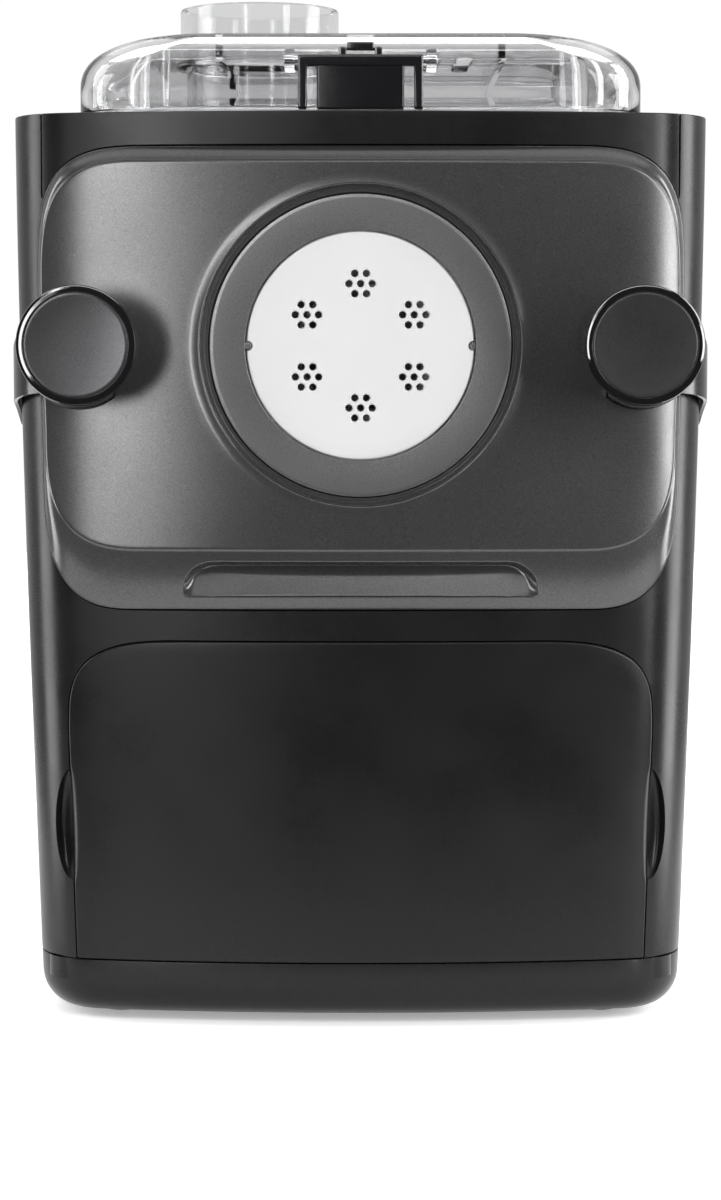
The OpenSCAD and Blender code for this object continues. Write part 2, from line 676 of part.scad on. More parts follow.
module shaping_disc() color([0.93, 0.93, 0.92]) difference() {
  union() {
    ycyl(42.2, -157.8, -151.4);
    ycyl(disc_r, -159.2, -151.4);
  }
  for (a = [30:60:330]) {
    ycyl(strand_r, -165, -150, group_r * cos(a), axis_z + group_r * sin(a));
    for (b = [0:60:300])
      ycyl(strand_r, -165, -150, group_r * cos(a) + 3.9 * cos(b),
           axis_z + group_r * sin(a) + 3.9 * sin(b));
  }
  // wide feed pocket behind the holes
  ycyl(29, -155.4, -150);
  for (s = [-1, 1]) ycyl(1.7, -165, -157, s * disc_r);
}
module disc_gasket() color([0.8, 0.8, 0.82]) yturn() polygon(
  [[34, 150.1], [40, 150.1], [40, 151.2], [34, 151.2]]);

// saddle behind each knob, wrapping round the body corner
module ear(s) color([0.05, 0.05, 0.055]) difference() {
  union() {
    intersection() {
      ycyl(21, -163.2, -153.5, s * knob_x);
      block(min(s * 83, s * 116), max(s * 83, s * 116), -180, -140, 200, 260);
    }
    intersection() {
      translate([0, 0, 200]) linear_extrude(60) difference() {
        polygon(plan(119.7, panel_front - 1.3, bow_r, 25.3, 0, 8, 12, 10));
        polygon(plan(118.4, panel_front, bow_r, 24, 0, 8, 12, 10));
      }
      block(min(s * 100, s * 130), max(s * 100, s * 130), -170, -100, 200, 260);
      xprism(-130, 130) hull() {
        translate([-156, 232]) circle(16);
        translate([-126, 218.3]) circle(11);
      }
    }
  }
  ycyl(6.35, -180, -140, s * knob_x);
}
module ear_left() ear(-1);
module ear_right() ear(1);

module knob(s) color([0.05, 0.05, 0.055]) yturn(s * knob_x) polygon(
  [[6.06, 165.3], [14.6, 165.3], [15.2, 169], [16.6, 176], [18.4, 183],
   [19.3, 187], [19.5, 188.6], [19.1, 190.2], [18, 191.4], [17.2, 191.5],
   [17.2, 189.7], [0, 189.7], [0, 187], [6.06, 187]]);
module knob_left() knob(-1);
module knob_right() knob(1);

module knob_cap(s) color([0.3, 0.3, 0.31]) yturn(s * knob_x) polygon(
  [[0, 189.7], [17, 189.7], [17, 191.2], [16.4, 191.8], [0, 192]]);
module knob_cap_left() knob_cap(-1);
module knob_cap_right() knob_cap(1);

module knob_washer(s) color([0.7, 0.71, 0.73]) yturn(s * knob_x) polygon(
  [[6.35, 163.3], [16.4, 163.3], [16.4, 165.2], [6.35, 165.2]]);
module knob_washer_left() knob_washer(-1);
module knob_washer_right() knob_washer(1);

// ---- lid ----

lid_z0 = 313.6;
lid_top = 340;
function lid_half(z, e) =
  let (t = max(0, (z - 322) / (lid_top - 322))) 62 + (97.5 - 62) * pow(1 - pow(t, 2.4), 1 / 2.1) - e;
function lid_in(z) = z < 332 ? 0 : 8 - sqrt(max(0, 64 - (z - 332) * (z - 332)));
// rounded rectangle as points, n steps to each corner
function rpts(x0, x1, y0, y1, r, n = 6) = [for (q = [0:3], i = [0:n])
  let (t = 90 * (q + i / n), cx = (q == 0 || q == 3) ? x1 - r : x0 + r,
       cy = q < 2 ? y1 - r : y0 + r) [cx + r * cos(t), cy + r * sin(t)]];
module lid_form(e)
  hull() for (z = [lid_z0, 322, 329, 334, 337.6, lid_top])
    let (f = lid_in(z) + e, zz = z == lid_z0 ? z - (e > 0 ? 1 : 0) : z - e - 0.1)
      translate([0, 0, zz]) linear_extrude(0.1)
        polygon(rpts(-lid_half(z, e), lid_half(z, e), -138 + f, 36 - f,
                     max(2, 22 - f)));

cup = [-37, -60];
latch_y = -143.5;
module lid() color([0.82, 0.87, 0.9, 0.35]) difference() {
  union() {
    difference() {
      lid_form(0);
      lid_form(2.5);
    }
    // frame that carries the seal, and two cross ribs
    difference() {
      slab(-79.5, 79.5, -130.5, 28.5, 316, 337.8, 14);
      slab(-77, 77, -128, 26, 300, 350, 12);
    }
    for (s = [-1, 1]) block(s * 48.5 - 1.2, s * 48.5 + 1.2, -129, 27, 330, 337.8);
    // cup collar
    translate([cup[0], cup[1], 326]) cylinder(r = 30.5, h = 13);
    // hinge lugs
    for (s = [-1, 1]) {
      block(s * 65 - 4, s * 65 + 4, 34, 42, 316.4, 327.6);
      xcyl(5.6, s * 65 - 4, s * 65 + 4, 42, 322);
    }
    // latch lugs
    for (s = [-1, 1]) {
      block(s * 24 - 1.7, s * 24 + 1.7, latch_y, -136, 325.8, 333.4);
      xcyl(3.8, s * 24 - 1.7, s * 24 + 1.7, latch_y, 329.6);
    }
  }
  translate([cup[0], cup[1], 300]) cylinder(r = 27.3, h = 60);
  for (s = [-1, 1]) xcyl(2, min(s * 50, s * 80), max(s * 50, s * 80), 42, 322);
  xcyl(1.25, -30, 30, latch_y, 329.6);
  // pouring slots on the right
  for (i = [0:2]) slab(10 + i * 12, 16 + i * 12, -100, -30, 330, 350, 2.9);
}

module lid_latch() color([0.05, 0.05, 0.055]) translate([0, latch_y, 0])
  difference() {
    union() {
      for (s = [-1, 1]) {
        block(min(s * 18.1, s * 21.3), max(s * 18.1, s * 21.3), -2.1, 2.3, 313.1, 329.6);
        xcyl(2.2, min(s * 14, s * 21.3), max(s * 14, s * 21.3), 0, 329.6);
      }
      block(-21.3, 21.3, -2.1, 2.3, 327.4, 331.4);
      block(-14.8, 14.8, -1.5, 2.1, 313.1, 328);
      for (s = [-1, 1]) block(s * 5.8 - 1.2, s * 5.8 + 1.2, -1.1, 1.5, 331, 333.8);
      block(-4.6, 4.6, -1.1, 1.5, 333.2, 335.2);
      block(-7, 7, -1.1, 1.5, 332.8, 333.8);
    }
    xcyl(1.3, -30, 30, 0, 329.6);
  }

module lid_pins() color([0.75, 0.76, 0.78]) {
  for (s = [-1, 1]) xcyl(2, min(s * 56, s * 74), max(s * 56, s * 74), 42, 322);
  xcyl(1.25, -25.7, 25.7, latch_y, 329.6);
}

module lid_seal() color([0.8, 0.8, 0.82]) difference() {
  slab(-79, 79, -130, 28, 313.5, 316, 13.5);
  slab(-76, 76, -127, 25, 300, 350, 11);
}

module measuring_cup() color([0.85, 0.9, 0.93, 0.35]) translate([cup[0], cup[1], 0])
  rotate_extrude() polygon([[0, 316], [24.5, 316], [26.9, 318], [26.9, 340.3],
    [29, 340.3], [29, 355], [28.4, 356], [27.2, 356], [26.6, 355], [26.6, 342],
    [24.8, 340.5], [24.4, 318.6], [0, 318.2]]);

housing();
front_bezel();
top_deck();
base_pan();
rear_cover();
rubber_feet();
case_screws();
front_bulkhead();
tie_rods();
mixing_chamber();
extruder_tube();
extrusion_screw();
mixing_paddle();
drive_shaft();
shaft_seal();
shaft_bearings();
gearbox_case();
gearbox_plate();
output_gear();
idler_gear();
idler_axle();
motor_pinion();
motor_can();
motor_rotor();
cooling_fan();
drive_screws();
gearbox_bracket();
control_board();
power_board();
display_lens();
control_dial();
start_button();
timer_button();
mode_button();
power_switch();
inlet_socket();
drawer_front();
drawer_tray();
drawer_divider();
stored_discs();
drawer_rails();
front_panel();
panel_backing();
disc_ring();
shaping_disc();
disc_gasket();
ear_left();
ear_right();
knob_left();
knob_right();
knob_cap_left();
knob_cap_right();
knob_washer_left();
knob_washer_right();
lid();
lid_latch();
lid_pins();
lid_seal();
measuring_cup();
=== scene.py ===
import bpy, math
import numpy as np
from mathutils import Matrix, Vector
from mathutils.bvhtree import BVHTree


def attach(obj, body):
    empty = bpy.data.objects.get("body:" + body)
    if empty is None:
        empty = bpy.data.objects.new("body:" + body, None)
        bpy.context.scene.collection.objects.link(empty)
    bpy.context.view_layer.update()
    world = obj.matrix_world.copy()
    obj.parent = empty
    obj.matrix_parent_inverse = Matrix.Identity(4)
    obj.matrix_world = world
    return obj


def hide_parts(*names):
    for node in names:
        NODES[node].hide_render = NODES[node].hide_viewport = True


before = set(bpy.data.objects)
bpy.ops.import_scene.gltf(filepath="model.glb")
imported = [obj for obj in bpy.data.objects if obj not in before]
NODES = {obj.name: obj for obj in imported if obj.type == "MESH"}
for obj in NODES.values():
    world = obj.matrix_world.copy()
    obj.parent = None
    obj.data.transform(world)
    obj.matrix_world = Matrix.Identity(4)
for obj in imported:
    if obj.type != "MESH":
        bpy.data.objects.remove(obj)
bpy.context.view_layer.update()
COL = bpy.context.scene.collection
sin, cos, pi = math.sin, math.cos, math.pi

# ------------------------------------------------------------------ helpers
# Shapes are written in millimetres, as the CAD is, and stored in metres.


def new_obj(name, verts, faces):
    me = bpy.data.meshes.new(name)
    me.from_pydata([(v[0] * .001, v[1] * .001, v[2] * .001) for v in verts], [], faces)
    me.update()
    o = bpy.data.objects.new(name, me)
    COL.objects.link(o)
    return o


def smooth(o, deg=35):
    me = o.data
    me.polygons.foreach_set("use_smooth", [True] * len(me.polygons))
    me.set_sharp_from_angle(angle=math.radians(deg))
    return o


def outward(o):
    """Turns every face to point out of a closed mesh."""
    import bmesh
    bm = bmesh.new()
    bm.from_mesh(o.data)
    bmesh.ops.recalc_face_normals(bm, faces=bm.faces)
    bm.to_mesh(o.data)
    bm.free()
    return o


def rings(name, rows, wrap=False, cap0=True, cap1=True, deg=35):
    """Closed skin through rings of the same number of points. wrap joins the last ring to the first."""
    n, m = len(rows), len(rows[0])
    verts = [p for r in rows for p in r]
    faces = []
    for i in range(n if wrap else n - 1):
        a, b = i * m, ((i + 1) % n) * m
        for j in range(m):
            k = (j + 1) % m
            faces.append((a + j, a + k, b + k, b + j))
    if not wrap:
        if cap0:
            faces.append(tuple(range(m - 1, -1, -1)))
        if cap1:
            faces.append(tuple(range((n - 1) * m, n * m)))
    return smooth(outward(new_obj(name, verts, faces)), deg)


def web_cap(rows, centre_of, steps):
    """Rings that close the last ring towards a centre, in steps, with centre_of(x, z, s) giving each point."""
    last = rows[-1]
    for s in steps:
        rows.append([centre_of(p, s) for p in last])
    return rows


def rounded(pts, seg=5, closed=False):
    """Polyline with each corner (a, b, r) rounded to radius r."""
    out, n = [], len(pts)
    for i, p in enumerate(pts):
        r = p[2] if len(p) > 2 else 0
        if r <= 0 or (not closed and i in (0, n - 1)):
            out.append((p[0], p[1]))
            continue
        a, b = np.array(pts[i - 1][:2], float), np.array(pts[(i + 1) % n][:2], float)
        c = np.array(p[:2], float)
        u, v = a - c, b - c
        lu, lv = np.linalg.norm(u), np.linalg.norm(v)
        u, v = u / lu, v / lv
        ang = math.acos(max(-1, min(1, float(u @ v))))
        if ang > pi - 0.02 or ang < 0.02:
            out.append((p[0], p[1]))
            continue
        t = min(r / math.tan(ang / 2), lu * .49, lv * .49)
        r = t * math.tan(ang / 2)
        w = u + v
        o = c + w / np.linalg.norm(w) * (r / sin(ang / 2))
        s0, s1 = c + u * t - o, c + v * t - o
        full = math.acos(max(-1, min(1, float(s0 @ s1) / (r * r))))
        for k in range(seg + 1):
            f = k / seg
            q = (s0 * sin((1 - f) * full) + s1 * sin(f * full)) / sin(full)
            out.append(tuple(o + q))
    return out


def lathe(name, prof, cx=0.0, cz=0.0, n=160, axis="y", deg=35, seg=5, closed=False):
    """Turns a profile of (radius, place along the axis, corner radius) about a line along Y, Z or X."""
    pts = rounded(prof, seg, closed)
    verts, faces, idx = [], [], []
    for r, y in pts:
        if r < 1e-6:
            idx.append([len(verts)] * n)
            q = [(0, 0)]
        else:
            idx.append(list(range(len(verts), len(verts) + n)))
            q = [(r * cos(2 * pi * k / n), r * sin(2 * pi * k / n)) for k in range(n)]
        for a, b in q:
            if axis == "y":
                verts.append((cx + a, y, cz + b))
            elif axis == "z":
                verts.append((cx + a, cz + b, y))
            else:
                verts.append((y, cx + a, cz + b))
    m = len(pts)
    for i in range(m if closed else m - 1):
        A, B = idx[i], idx[(i + 1) % m]
        for k in range(n):
            l = (k + 1) % n
            f = []
            for v in (A[k], A[l], B[l], B[k]):
                if v not in f:
                    f.append(v)
            if len(f) > 2:
                faces.append(tuple(f))
    return smooth(outward(new_obj(name, verts, faces)), deg)


def resample(P, n):
    P = np.array(P, float)
    d = np.r_[0, np.cumsum(np.hypot(*np.diff(P, axis=0).T))]
    t = np.linspace(0, d[-1], n + 1)[:-1]
    return np.c_[np.interp(t, d, P[:, 0]), np.interp(t, d, P[:, 1])]


def face_pts(h0, h1, z0, z1, at, bt, nt, ab, bb, nb, N=(60, 70, 60, 40, 60, 150, 60, 40)):
    """Front outline with superelliptic corners, the same curve as the CAD's, evenly spaced in each stretch."""
    T = np.linspace(0, pi / 2, 240)
    c, s = np.cos(T), np.sin(T)
    tr = np.c_[h1 - at + at * c ** (2 / nt), z1 - bt + bt * s ** (2 / nt)]
    tl = tr[::-1] * [-1, 1]
    bl = np.c_[-h0 + ab - ab * c ** (2 / nb), z0 + bb - bb * s ** (2 / nb)]
    br = bl[::-1] * [-1, 1]
    segs = [tr, [tr[-1], tl[0]], tl, [tl[-1], bl[0]], bl, [bl[-1], br[0]], br, [br[-1], tr[0]]]
    return np.vstack([resample(g, k) for g, k in zip(segs, N)])


def out_normals(P):
    d = np.roll(P, -1, 0) - np.roll(P, 1, 0)
    q = np.c_[d[:, 1], -d[:, 0]]
    return q / np.linalg.norm(q, axis=1)[:, None]


def half_at(z):
    return 119 - 6.75 * max(0.0, (312 - z) / 286) ** 1.5


def front_y(x, w, yf, b, rc):
    """Y of a bowed front with rounded corners, at x."""
    x = abs(x)
    cx, by = w - rc, yf + b
    cy = by - math.sqrt((b - rc) ** 2 - cx * cx)
    if x <= b * cx / (b - rc):
        return by - math.sqrt(b * b - x * x)
    d = min(x - cx, rc)
    return cy - math.sqrt(max(0.0, rc * rc - d * d))


def plan_ring(z, w, yf, b, rc, yb, rb, nb=48, nc=12, ns=16):
    cx, by = w - rc, yf + b
    cy = by - math.sqrt((b - rc) ** 2 - cx * cx)
    a = math.asin(cx / (b - rc))
    p = [(b * sin(a * i / nb), by - b * cos(a * i / nb)) for i in range(-nb, nb + 1)]
    p += [(cx + rc * sin(t), cy - rc * cos(t)) for t in [a + (pi / 2 - a) * i / nc for i in range(1, nc + 1)]]
    p += [(w, cy + (yb - rb - cy) * i / ns) for i in range(1, ns)]
    p += [(w - rb + rb * cos(t), yb - rb + rb * sin(t)) for t in [pi / 2 * i / nc for i in range(nc + 1)]]
    p += [(w - rb - 2 * (w - rb) * i / ns, yb) for i in range(1, ns)]
    p += [(-w + rb + rb * cos(t), yb - rb + rb * sin(t)) for t in [pi / 2 + pi / 2 * i / nc for i in range(nc + 1)]]
    p += [(-w, yb - rb + (cy - yb + rb) * i / ns) for i in range(1, ns)]
    p += [(-cx + rc * sin(t), cy - rc * cos(t)) for t in [-pi / 2 + (pi / 2 - a) * i / nc for i in range(nc)]]
    return [(x, y, z) for x, y in p]


def boolean(o, cutter, op="DIFFERENCE", keep=False, solver="MANIFOLD"):
    m = o.modifiers.new("b", "BOOLEAN")
    m.operation, m.object, m.solver = op, cutter, solver
    dg = bpy.context.evaluated_depsgraph_get()
    me = bpy.data.meshes.new_from_object(o.evaluated_get(dg))
    old = o.data
    o.modifiers.clear()
    o.data = me
    bpy.data.meshes.remove(old)
    if not keep:
        bpy.data.objects.remove(cutter)
    return o


class Skin:
    """Remembers a smooth mesh's normals, to give them back to what is left of it after cuts."""

    def __init__(self, o):
        me = o.data
        co = [v.co.copy() for v in me.vertices]
        self.polys = [tuple(p.vertices) for p in me.polygons]
        self.tree = BVHTree.FromPolygons(co, self.polys)
        self.co = co
        n = np.zeros(len(me.loops) * 3, np.float32)
        me.corner_normals.foreach_get("vector", n)
        n = n.reshape(-1, 3)
        self.norm = [[Vector(n[i]) for i in p.loop_indices] for p in me.polygons]
        self.flat = [p.normal.copy() for p in me.polygons]

    def at(self, p, tol):
        loc, nor, i, d = self.tree.find_nearest(p, tol)
        if i is None:
            return None
        w, s = [], 0.0
        for v in self.polys[i]:
            q = 1.0 / ((p - self.co[v]).length_squared + 1e-12)
            w.append(q)
            s += q
        out = Vector()
        for q, nn in zip(w, self.norm[i]):
            out += nn * (q / s)
        return out.normalized(), self.flat[i]


def reskin(o, skins, tol=3e-5, deg=32):
    """After booleans: the surviving skin keeps its smooth normals, cut faces are smoothed by angle."""
    me = o.data
    smooth(o, deg)
    me.update()
    n = np.zeros(len(me.loops) * 3, np.float32)
    me.corner_normals.foreach_get("vector", n)
    n = n.reshape(-1, 3)
    cache = {}
    for p in me.polygons:
        pn = p.normal
        for li in p.loop_indices:
            vi = me.loops[li].vertex_index
            if vi not in cache:
                co = me.vertices[vi].co
                cache[vi] = [h for h in (s.at(co, tol) for s in skins) if h]
            for nn, fl in cache[vi]:
                if pn.dot(nn) > 0.93:
                    n[li] = nn
                    break
    me.normals_split_custom_set(n.tolist())
    return o


def prism_rings(name, P, steps, yfun=None, deg=35, cap0=True, cap1=True):
    """Solid through insets of an XZ outline: steps are (inset, y) or, with yfun, (inset, depth below yfun)."""
    N = out_normals(P)
    rows = []
    for d, y in steps:
        Q = P - N * d
        rows.append([(q[0], (yfun(q[0], q[1]) + y) if yfun else y, q[1]) for q in Q])
    return rings(name, rows, deg=deg, cap0=cap0, cap1=cap1)


def rrect(x0, x1, y0, y1, r, n=8):
    r = min(r, (x1 - x0) / 2 - 1e-4, (y1 - y0) / 2 - 1e-4)
    out = []
    for q, (cx, cy) in enumerate([(x1 - r, y1 - r), (x0 + r, y1 - r), (x0 + r, y0 + r), (x1 - r, y0 + r)]):
        for i in range(n + 1):
            t = pi / 2 * (q + i / n)
            out.append((cx + r * cos(t), cy + r * sin(t)))
    return np.array(out)


def plate(name, P, lo, hi, axis="z", e0=.4, e1=.4, seg=3, deg=35, mouth=False):
    """Plate of a closed outline with rounded rims. axis z: outline is XY; y: outline is XZ; x: outline is YZ."""
    N = out_normals(P)
    s = -1 if mouth else 1
    st = []
    if e0:
        st += [(s * e0 * (1 - sin(a)), lo + e0 * (1 - cos(a))) for a in [pi / 2 * i / seg for i in range(seg + 1)]]
    else:
        st.append((0, lo))
    if e1:
        st += [(s * e1 * (1 - cos(a)), hi - e1 * (1 - sin(a))) for a in [pi / 2 * i / seg for i in range(seg + 1)]]
    else:
        st.append((0, hi))
    rows = []
    for d, h in st:
        Q = P - N * d
        if axis == "z":
            rows.append([(q[0], q[1], h) for q in Q])
        elif axis == "y":
            rows.append([(q[0], h, q[1]) for q in Q])
        else:
            rows.append([(h, q[0], q[1]) for q in Q])
    return rings(name, rows, deg=deg)


def flare(name, P, lo, hi, e, axis="z", top=True, seg=4):
    """Cutter for a hole whose mouth is rounded by e at hi (or at lo)."""
    N = out_normals(P)
    if top:
        st = [(0, lo)] + [(-e * (1 - cos(a)), hi - e + e * sin(a)) for a in [pi / 2 * i / seg for i in range(seg + 1)]]
        st.append((-e, hi + 3))
    else:
        st = [(-e, lo - 3)] + [(-e * (1 - cos(a)), lo + e - e * sin(a)) for a in [pi / 2 * (1 - i / seg) for i in range(seg + 1)]]
        st.append((0, hi))
    rows = []
    for d, h in st:
        Q = P - N * d
        rows.append([(q[0], q[1], h) if axis == "z" else (q[0], h, q[1]) if axis == "y" else (h, q[0], q[1]) for q in Q])
    return rings(name, rows)


def rbox(name, x0, x1, y0, y1, z0, z1, r=.5, seg=3, deg=35):
    """Block with all edges rounded."""
    import bmesh
    bm = bmesh.new()
    bmesh.ops.create_cube(bm, size=1)
    for v in bm.verts:
        v.co = Vector(((x0 + x1) / 2 + v.co.x * (x1 - x0), (y0 + y1) / 2 + v.co.y * (y1 - y0),
                       (z0 + z1) / 2 + v.co.z * (z1 - z0))) * .001
    bmesh.ops.bevel(bm, geom=list(bm.edges), offset=r * .001, segments=seg, profile=.5, affect="EDGES")
    me = bpy.data.meshes.new(name)
    bm.to_mesh(me)
    bm.free()
    o = bpy.data.objects.new(name, me)
    COL.objects.link(o)
    return smooth(o, deg)


def join(name, objs):
    """Joins separate closed pieces into one object without changing them."""
    verts, faces, sm, off = [], [], [], 0
    nrm = []
    for o in objs:
        me = o.data
        n = np.zeros(len(me.loops) * 3, np.float32)
        me.corner_normals.foreach_get("vector", n)
        nrm.append(n.reshape(-1, 3))
        verts += [tuple(v.co) for v in me.vertices]
        faces += [tuple(v + off for v in p.vertices) for p in me.polygons]
        off += len(me.vertices)
        bpy.data.objects.remove(o)
    me = bpy.data.meshes.new(name)
    me.from_pydata(verts, [], faces)
    me.update()
    me.polygons.foreach_set("use_smooth", [True] * len(me.polygons))
    me.normals_split_custom_set(np.vstack(nrm).tolist())
    o = bpy.data.objects.new(name, me)
    COL.objects.link(o)
    return o


# ------------------------------------------------------------------ camera, floor, light
cam = bpy.data.objects.new("camera", bpy.data.cameras.new("camera"))
COL.objects.link(cam)
cam.data.sensor_fit = "AUTO"
cam.data.sensor_width = 36
cam.data.lens = 2812 / 1200 * 36
cam.location = (0, -1.107, 0.225)
cam.rotation_euler = (math.radians(90 - 4.68), 0, 0)
cam.data.clip_start, cam.data.clip_end = .01, 50
bpy.context.scene.camera = cam


# ------------------------------------------------------------------ front surfaces of body and panel
BR, RC = 600.0, 22.0        # bow and corner radius of the body
PR = 800.0                   # bow of the panel
YF = -158.8


def turn(x, w):
    # the body's front turns back a little more towards its side edges
    return .00003 * max(0.0, abs(x) - (w - 43)) ** 3


def body_y(x, z):
    return front_y(x, half_at(z), YF, BR, RC) + turn(x, half_at(z))


def panel_out_y(x):
    return front_y(x, 118.4, -157.2, PR, 20)


def panel_face_y(x):
    # bowed like the body, and turning back more and more towards its side edges
    return -162 + PR - math.sqrt(PR * PR - x * x) + .00015 * max(0.0, abs(x) - 86) ** 3


def panel_outline(g=0.0, **k):
    return face_pts(108.4 + g, 109.8 + g, 143.8 - g, 299.9 + g, 41.5, 48, 3.5, 33, 51, 3, **k)


def drawer_outline(g=0.0, **k):
    return face_pts(97.7 + g, 100 + g, 22.8 - g, 133 + g, 45, 32, 3.4, .6, .6, 2, **k)


# ------------------------------------------------------------------ body shell
def turned(ring, w):
    return [(x, y + turn(x, w) if y < -120 else y, z) for x, y, z in ring]


def body_rows(z0, z1, r0, r1, levels, e=0.0, seg=4):
    """Rings of the body's skin from z0 up to z1, with rims rounded by r0 and r1."""
    st = [(r0 * (1 - sin(a)), z0 + r0 * (1 - cos(a))) for a in [pi / 2 * i / seg for i in range(seg)]]
    st += [(0, z0 + r0 + (z1 - r1 - z0 - r0) * i / levels) for i in range(levels + 1)]
    st += [(r1 * (1 - cos(a)), z1 - r1 + r1 * sin(a)) for a in [pi / 2 * i / seg for i in range(1, seg + 1)]]
    return [turned(plan_ring(z, half_at(z) - d - e, YF + d + e, BR, RC - d - e, 192 - d - e, 18 - d - e), half_at(z)) for d, z in st]


def pocket(name, P, g, e, y1, depth_fun, lead=6):
    """Cutter through the body front: outline P grown by g, its mouth rounded by e, down to y1."""
    N = out_normals(P)
    rows = []
    prof = [(-lead, e)] + [(e * (1 - sin(a)), e * (1 - cos(a))) for a in [pi / 2 * i / 4 for i in range(4, -1, -1)]]
    for d, grow in prof:
        Q = P + N * (g + grow)
        rows.append([(q[0], depth_fun(q[0], q[1]) + d, q[1]) for q in Q])
    Q = P + N * g
    rows.append([(q[0], y1, q[1]) for q in Q])
    return rings(name, rows)


def build_body():
    rows = body_rows(22.65, 311.3, .25, .4, 56)
    inner = []
    for i in range(13):
        z = 311.3 - (311.3 - 22.65) * i / 12
        inner.append(plan_ring(z, half_at(z) - 3, -143, 60000, 12, 189, 15))
    rows += inner
    shell = rings("body_shell", rows, wrap=True)
    skin = Skin(shell)

    PO = panel_outline(N=(60, 60, 60, 30, 60, 60, 60, 30))
    boolean(shell, pocket("c1", PO, .32, .22, -146, body_y))
    # bay for the bezel, and a vee along the seam
    boolean(shell, rbox("c2", -108.2, 108.2, -175, -142.5, 283.9, 320, .1, 1))
    DO = drawer_outline(N=(60, 50, 60, 40, 4, 60, 4, 40))
    boolean(shell, pocket("c3", DO, .36, .2, -130, body_y))
    for s in (-1, 1):
        # finger scoop beside the drawer edge: a D-shaped dish, deepest near its rounded outer wall
        nu, nv = 44, 18
        back, front = [], []
        for i in range(nu + 1):
            t = -1 + 2 * i / nu
            z = 69.3 + 19.7 * t
            w_ = 6.9 * math.sqrt(max(0.0, 1 - t * t)) ** .9
            rb, rf = [], []
            for j in range(nv + 1):
                v = j / nv
                x = 98.3 + w_ - (w_ + 1.5) * v
                q = (1 - abs(t) ** 3) * 5.2 * (1 - (1 - min(1, v / .5)) ** 3.2) * (1 - .18 * max(0, v - .5))
                rb.append((s * x, body_y(x, z) - .04 + q, z))
                rf.append((s * x, -178, z))
            back.append(rb)
            front.append(rf)
        cut = [rb + rf[::-1] for rb, rf in zip(back, front)]
        boolean(shell, rings("c4", cut, deg=50))
        # vee groove of the bezel seam
        z0, z1 = 283, 320
        x = 108.05
        y = body_y(x, 300)
        nx = (x - (half_at(300) - RC)) / RC
        ny = -math.sqrt(1 - nx * nx)
        tx, ty = -ny, nx
        tri = [(x - nx * .55, y - ny * .55), (x + nx * .5 + tx * .8, y + ny * .5 + ty * .8), (x + nx * .5 - tx * .8, y + ny * .5 - ty * .8)]
        tri = [(s * a, b2) for a, b2 in tri]
        boolean(shell, rings("c6", [[(a, b2, z0) for a, b2 in tri], [(a, b2, z1) for a, b2 in tri]]))
    boolean(shell, lathe("c7", [(0, -150), (46.4, -150), (46.4, -135), (0, -135)], 0, 233, 96))
    for s in (-1, 1):
        boolean(shell, lathe("c8", [(0, -150), (6.3, -150), (6.3, -135), (0, -135)], s * 92.5, 233, 48))
    P = rrect(-92, 92, 42, 296, 8)
    boolean(shell, flare("c9", P, 180, 192, .5, "y"))
    reskin(shell, [skin])
    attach(shell, "machine")
    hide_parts("housing")

    # bezel: the same skin between the seams, above the panel
    bz = rings("top_bezel", body_rows(262, 311.3, .1, .4, 24) +
               [plan_ring(z, half_at(z) - 3, -143, 60000, 12, 189, 15) for z in (311.3, 300, 280, 262)], wrap=True)
    skin2 = Skin(bz)
    boolean(bz, rbox("d1", -107.85, 107.85, -190, -142.9, 284, 330, .1, 1), "INTERSECT")
    boolean(bz, pocket("d2", PO, .32, .22, -140, body_y))
    for s in (-1, 1):
        x = 108.05
        y = body_y(x, 300)
        nx = (x - (half_at(300) - RC)) / RC
        ny = -math.sqrt(1 - nx * nx)
        tx, ty = -ny, nx
        tri = [(x - nx * .55, y - ny * .55), (x + nx * .5 + tx * .8, y + ny * .5 + ty * .8), (x + nx * .5 - tx * .8, y + ny * .5 - ty * .8)]
        tri = [(s * a, b2) for a, b2 in tri]
        boolean(bz, rings("d3", [[(a, b2, 280) for a, b2 in tri], [(a, b2, 320) for a, b2 in tri]]))
    reskin(bz, [skin2])
    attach(bz, "machine")
    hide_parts("front_bezel")

    # base pan
    def inset(z):
        return 12 - math.sqrt(max(0, 144 - (15 - z) ** 2)) if z < 15 else 0
    st = [(inset(z), z) for z in [3, 3.15, 3.4, 3.8, 4.4, 5.2, 6.2, 7.4, 8.8, 10.4, 12.4, 15, 18, 22.1]]
    st += [(.25 * (1 - cos(a)), 22.1 + .25 * sin(a)) for a in [pi / 2 * i / 4 for i in range(1, 5)]]
    rows = [turned(plan_ring(z, half_at(z) - d, YF + d, BR, RC - d, 192 - d, 18 - d), half_at(z)) for d, z in st]
    rows.append(plan_ring(22.35, 108.5, -148, 60000, 10, 188.5, 10))
    rows.append(plan_ring(15, 108.5, -148, 60000, 10, 188.5, 10))
    rows.append(plan_ring(15, 99, -143, 60000, 6, 178, 6))
    rows.append(plan_ring(6, 99, -143, 60000, 6, 178, 6))
    pan = rings("base_tub", rows)
    skin3 = Skin(pan)
    for s in (-1, 1):
        for y in (-122, 158):
            boolean(pan, lathe("e1", [(0, -5), (9.6, -5), (9.6, 3, .3), (9.05, 4.2), (3.05, 4.2), (3.05, 20), (0, 20)], s * 84, y, 48, "z"))
        for y in (-90, 120):
            boolean(pan, lathe("e2", [(0, -5), (4.6, -5), (4.6, 3, .3), (4.2, 4.5), (1.8, 4.5), (1.8, 20), (0, 20)], s * 92, y, 40, "z"))
    for i in range(-5, 6):
        boolean(pan, flare("e3", rrect(i * 8 - 1.9, i * 8 + 1.9, 96.4, 139.6, 1.85), 3, 20, .3, top=False))
    reskin(pan, [skin3])
    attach(pan, "machine")
    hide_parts("base_pan")
    return shell, bz, pan


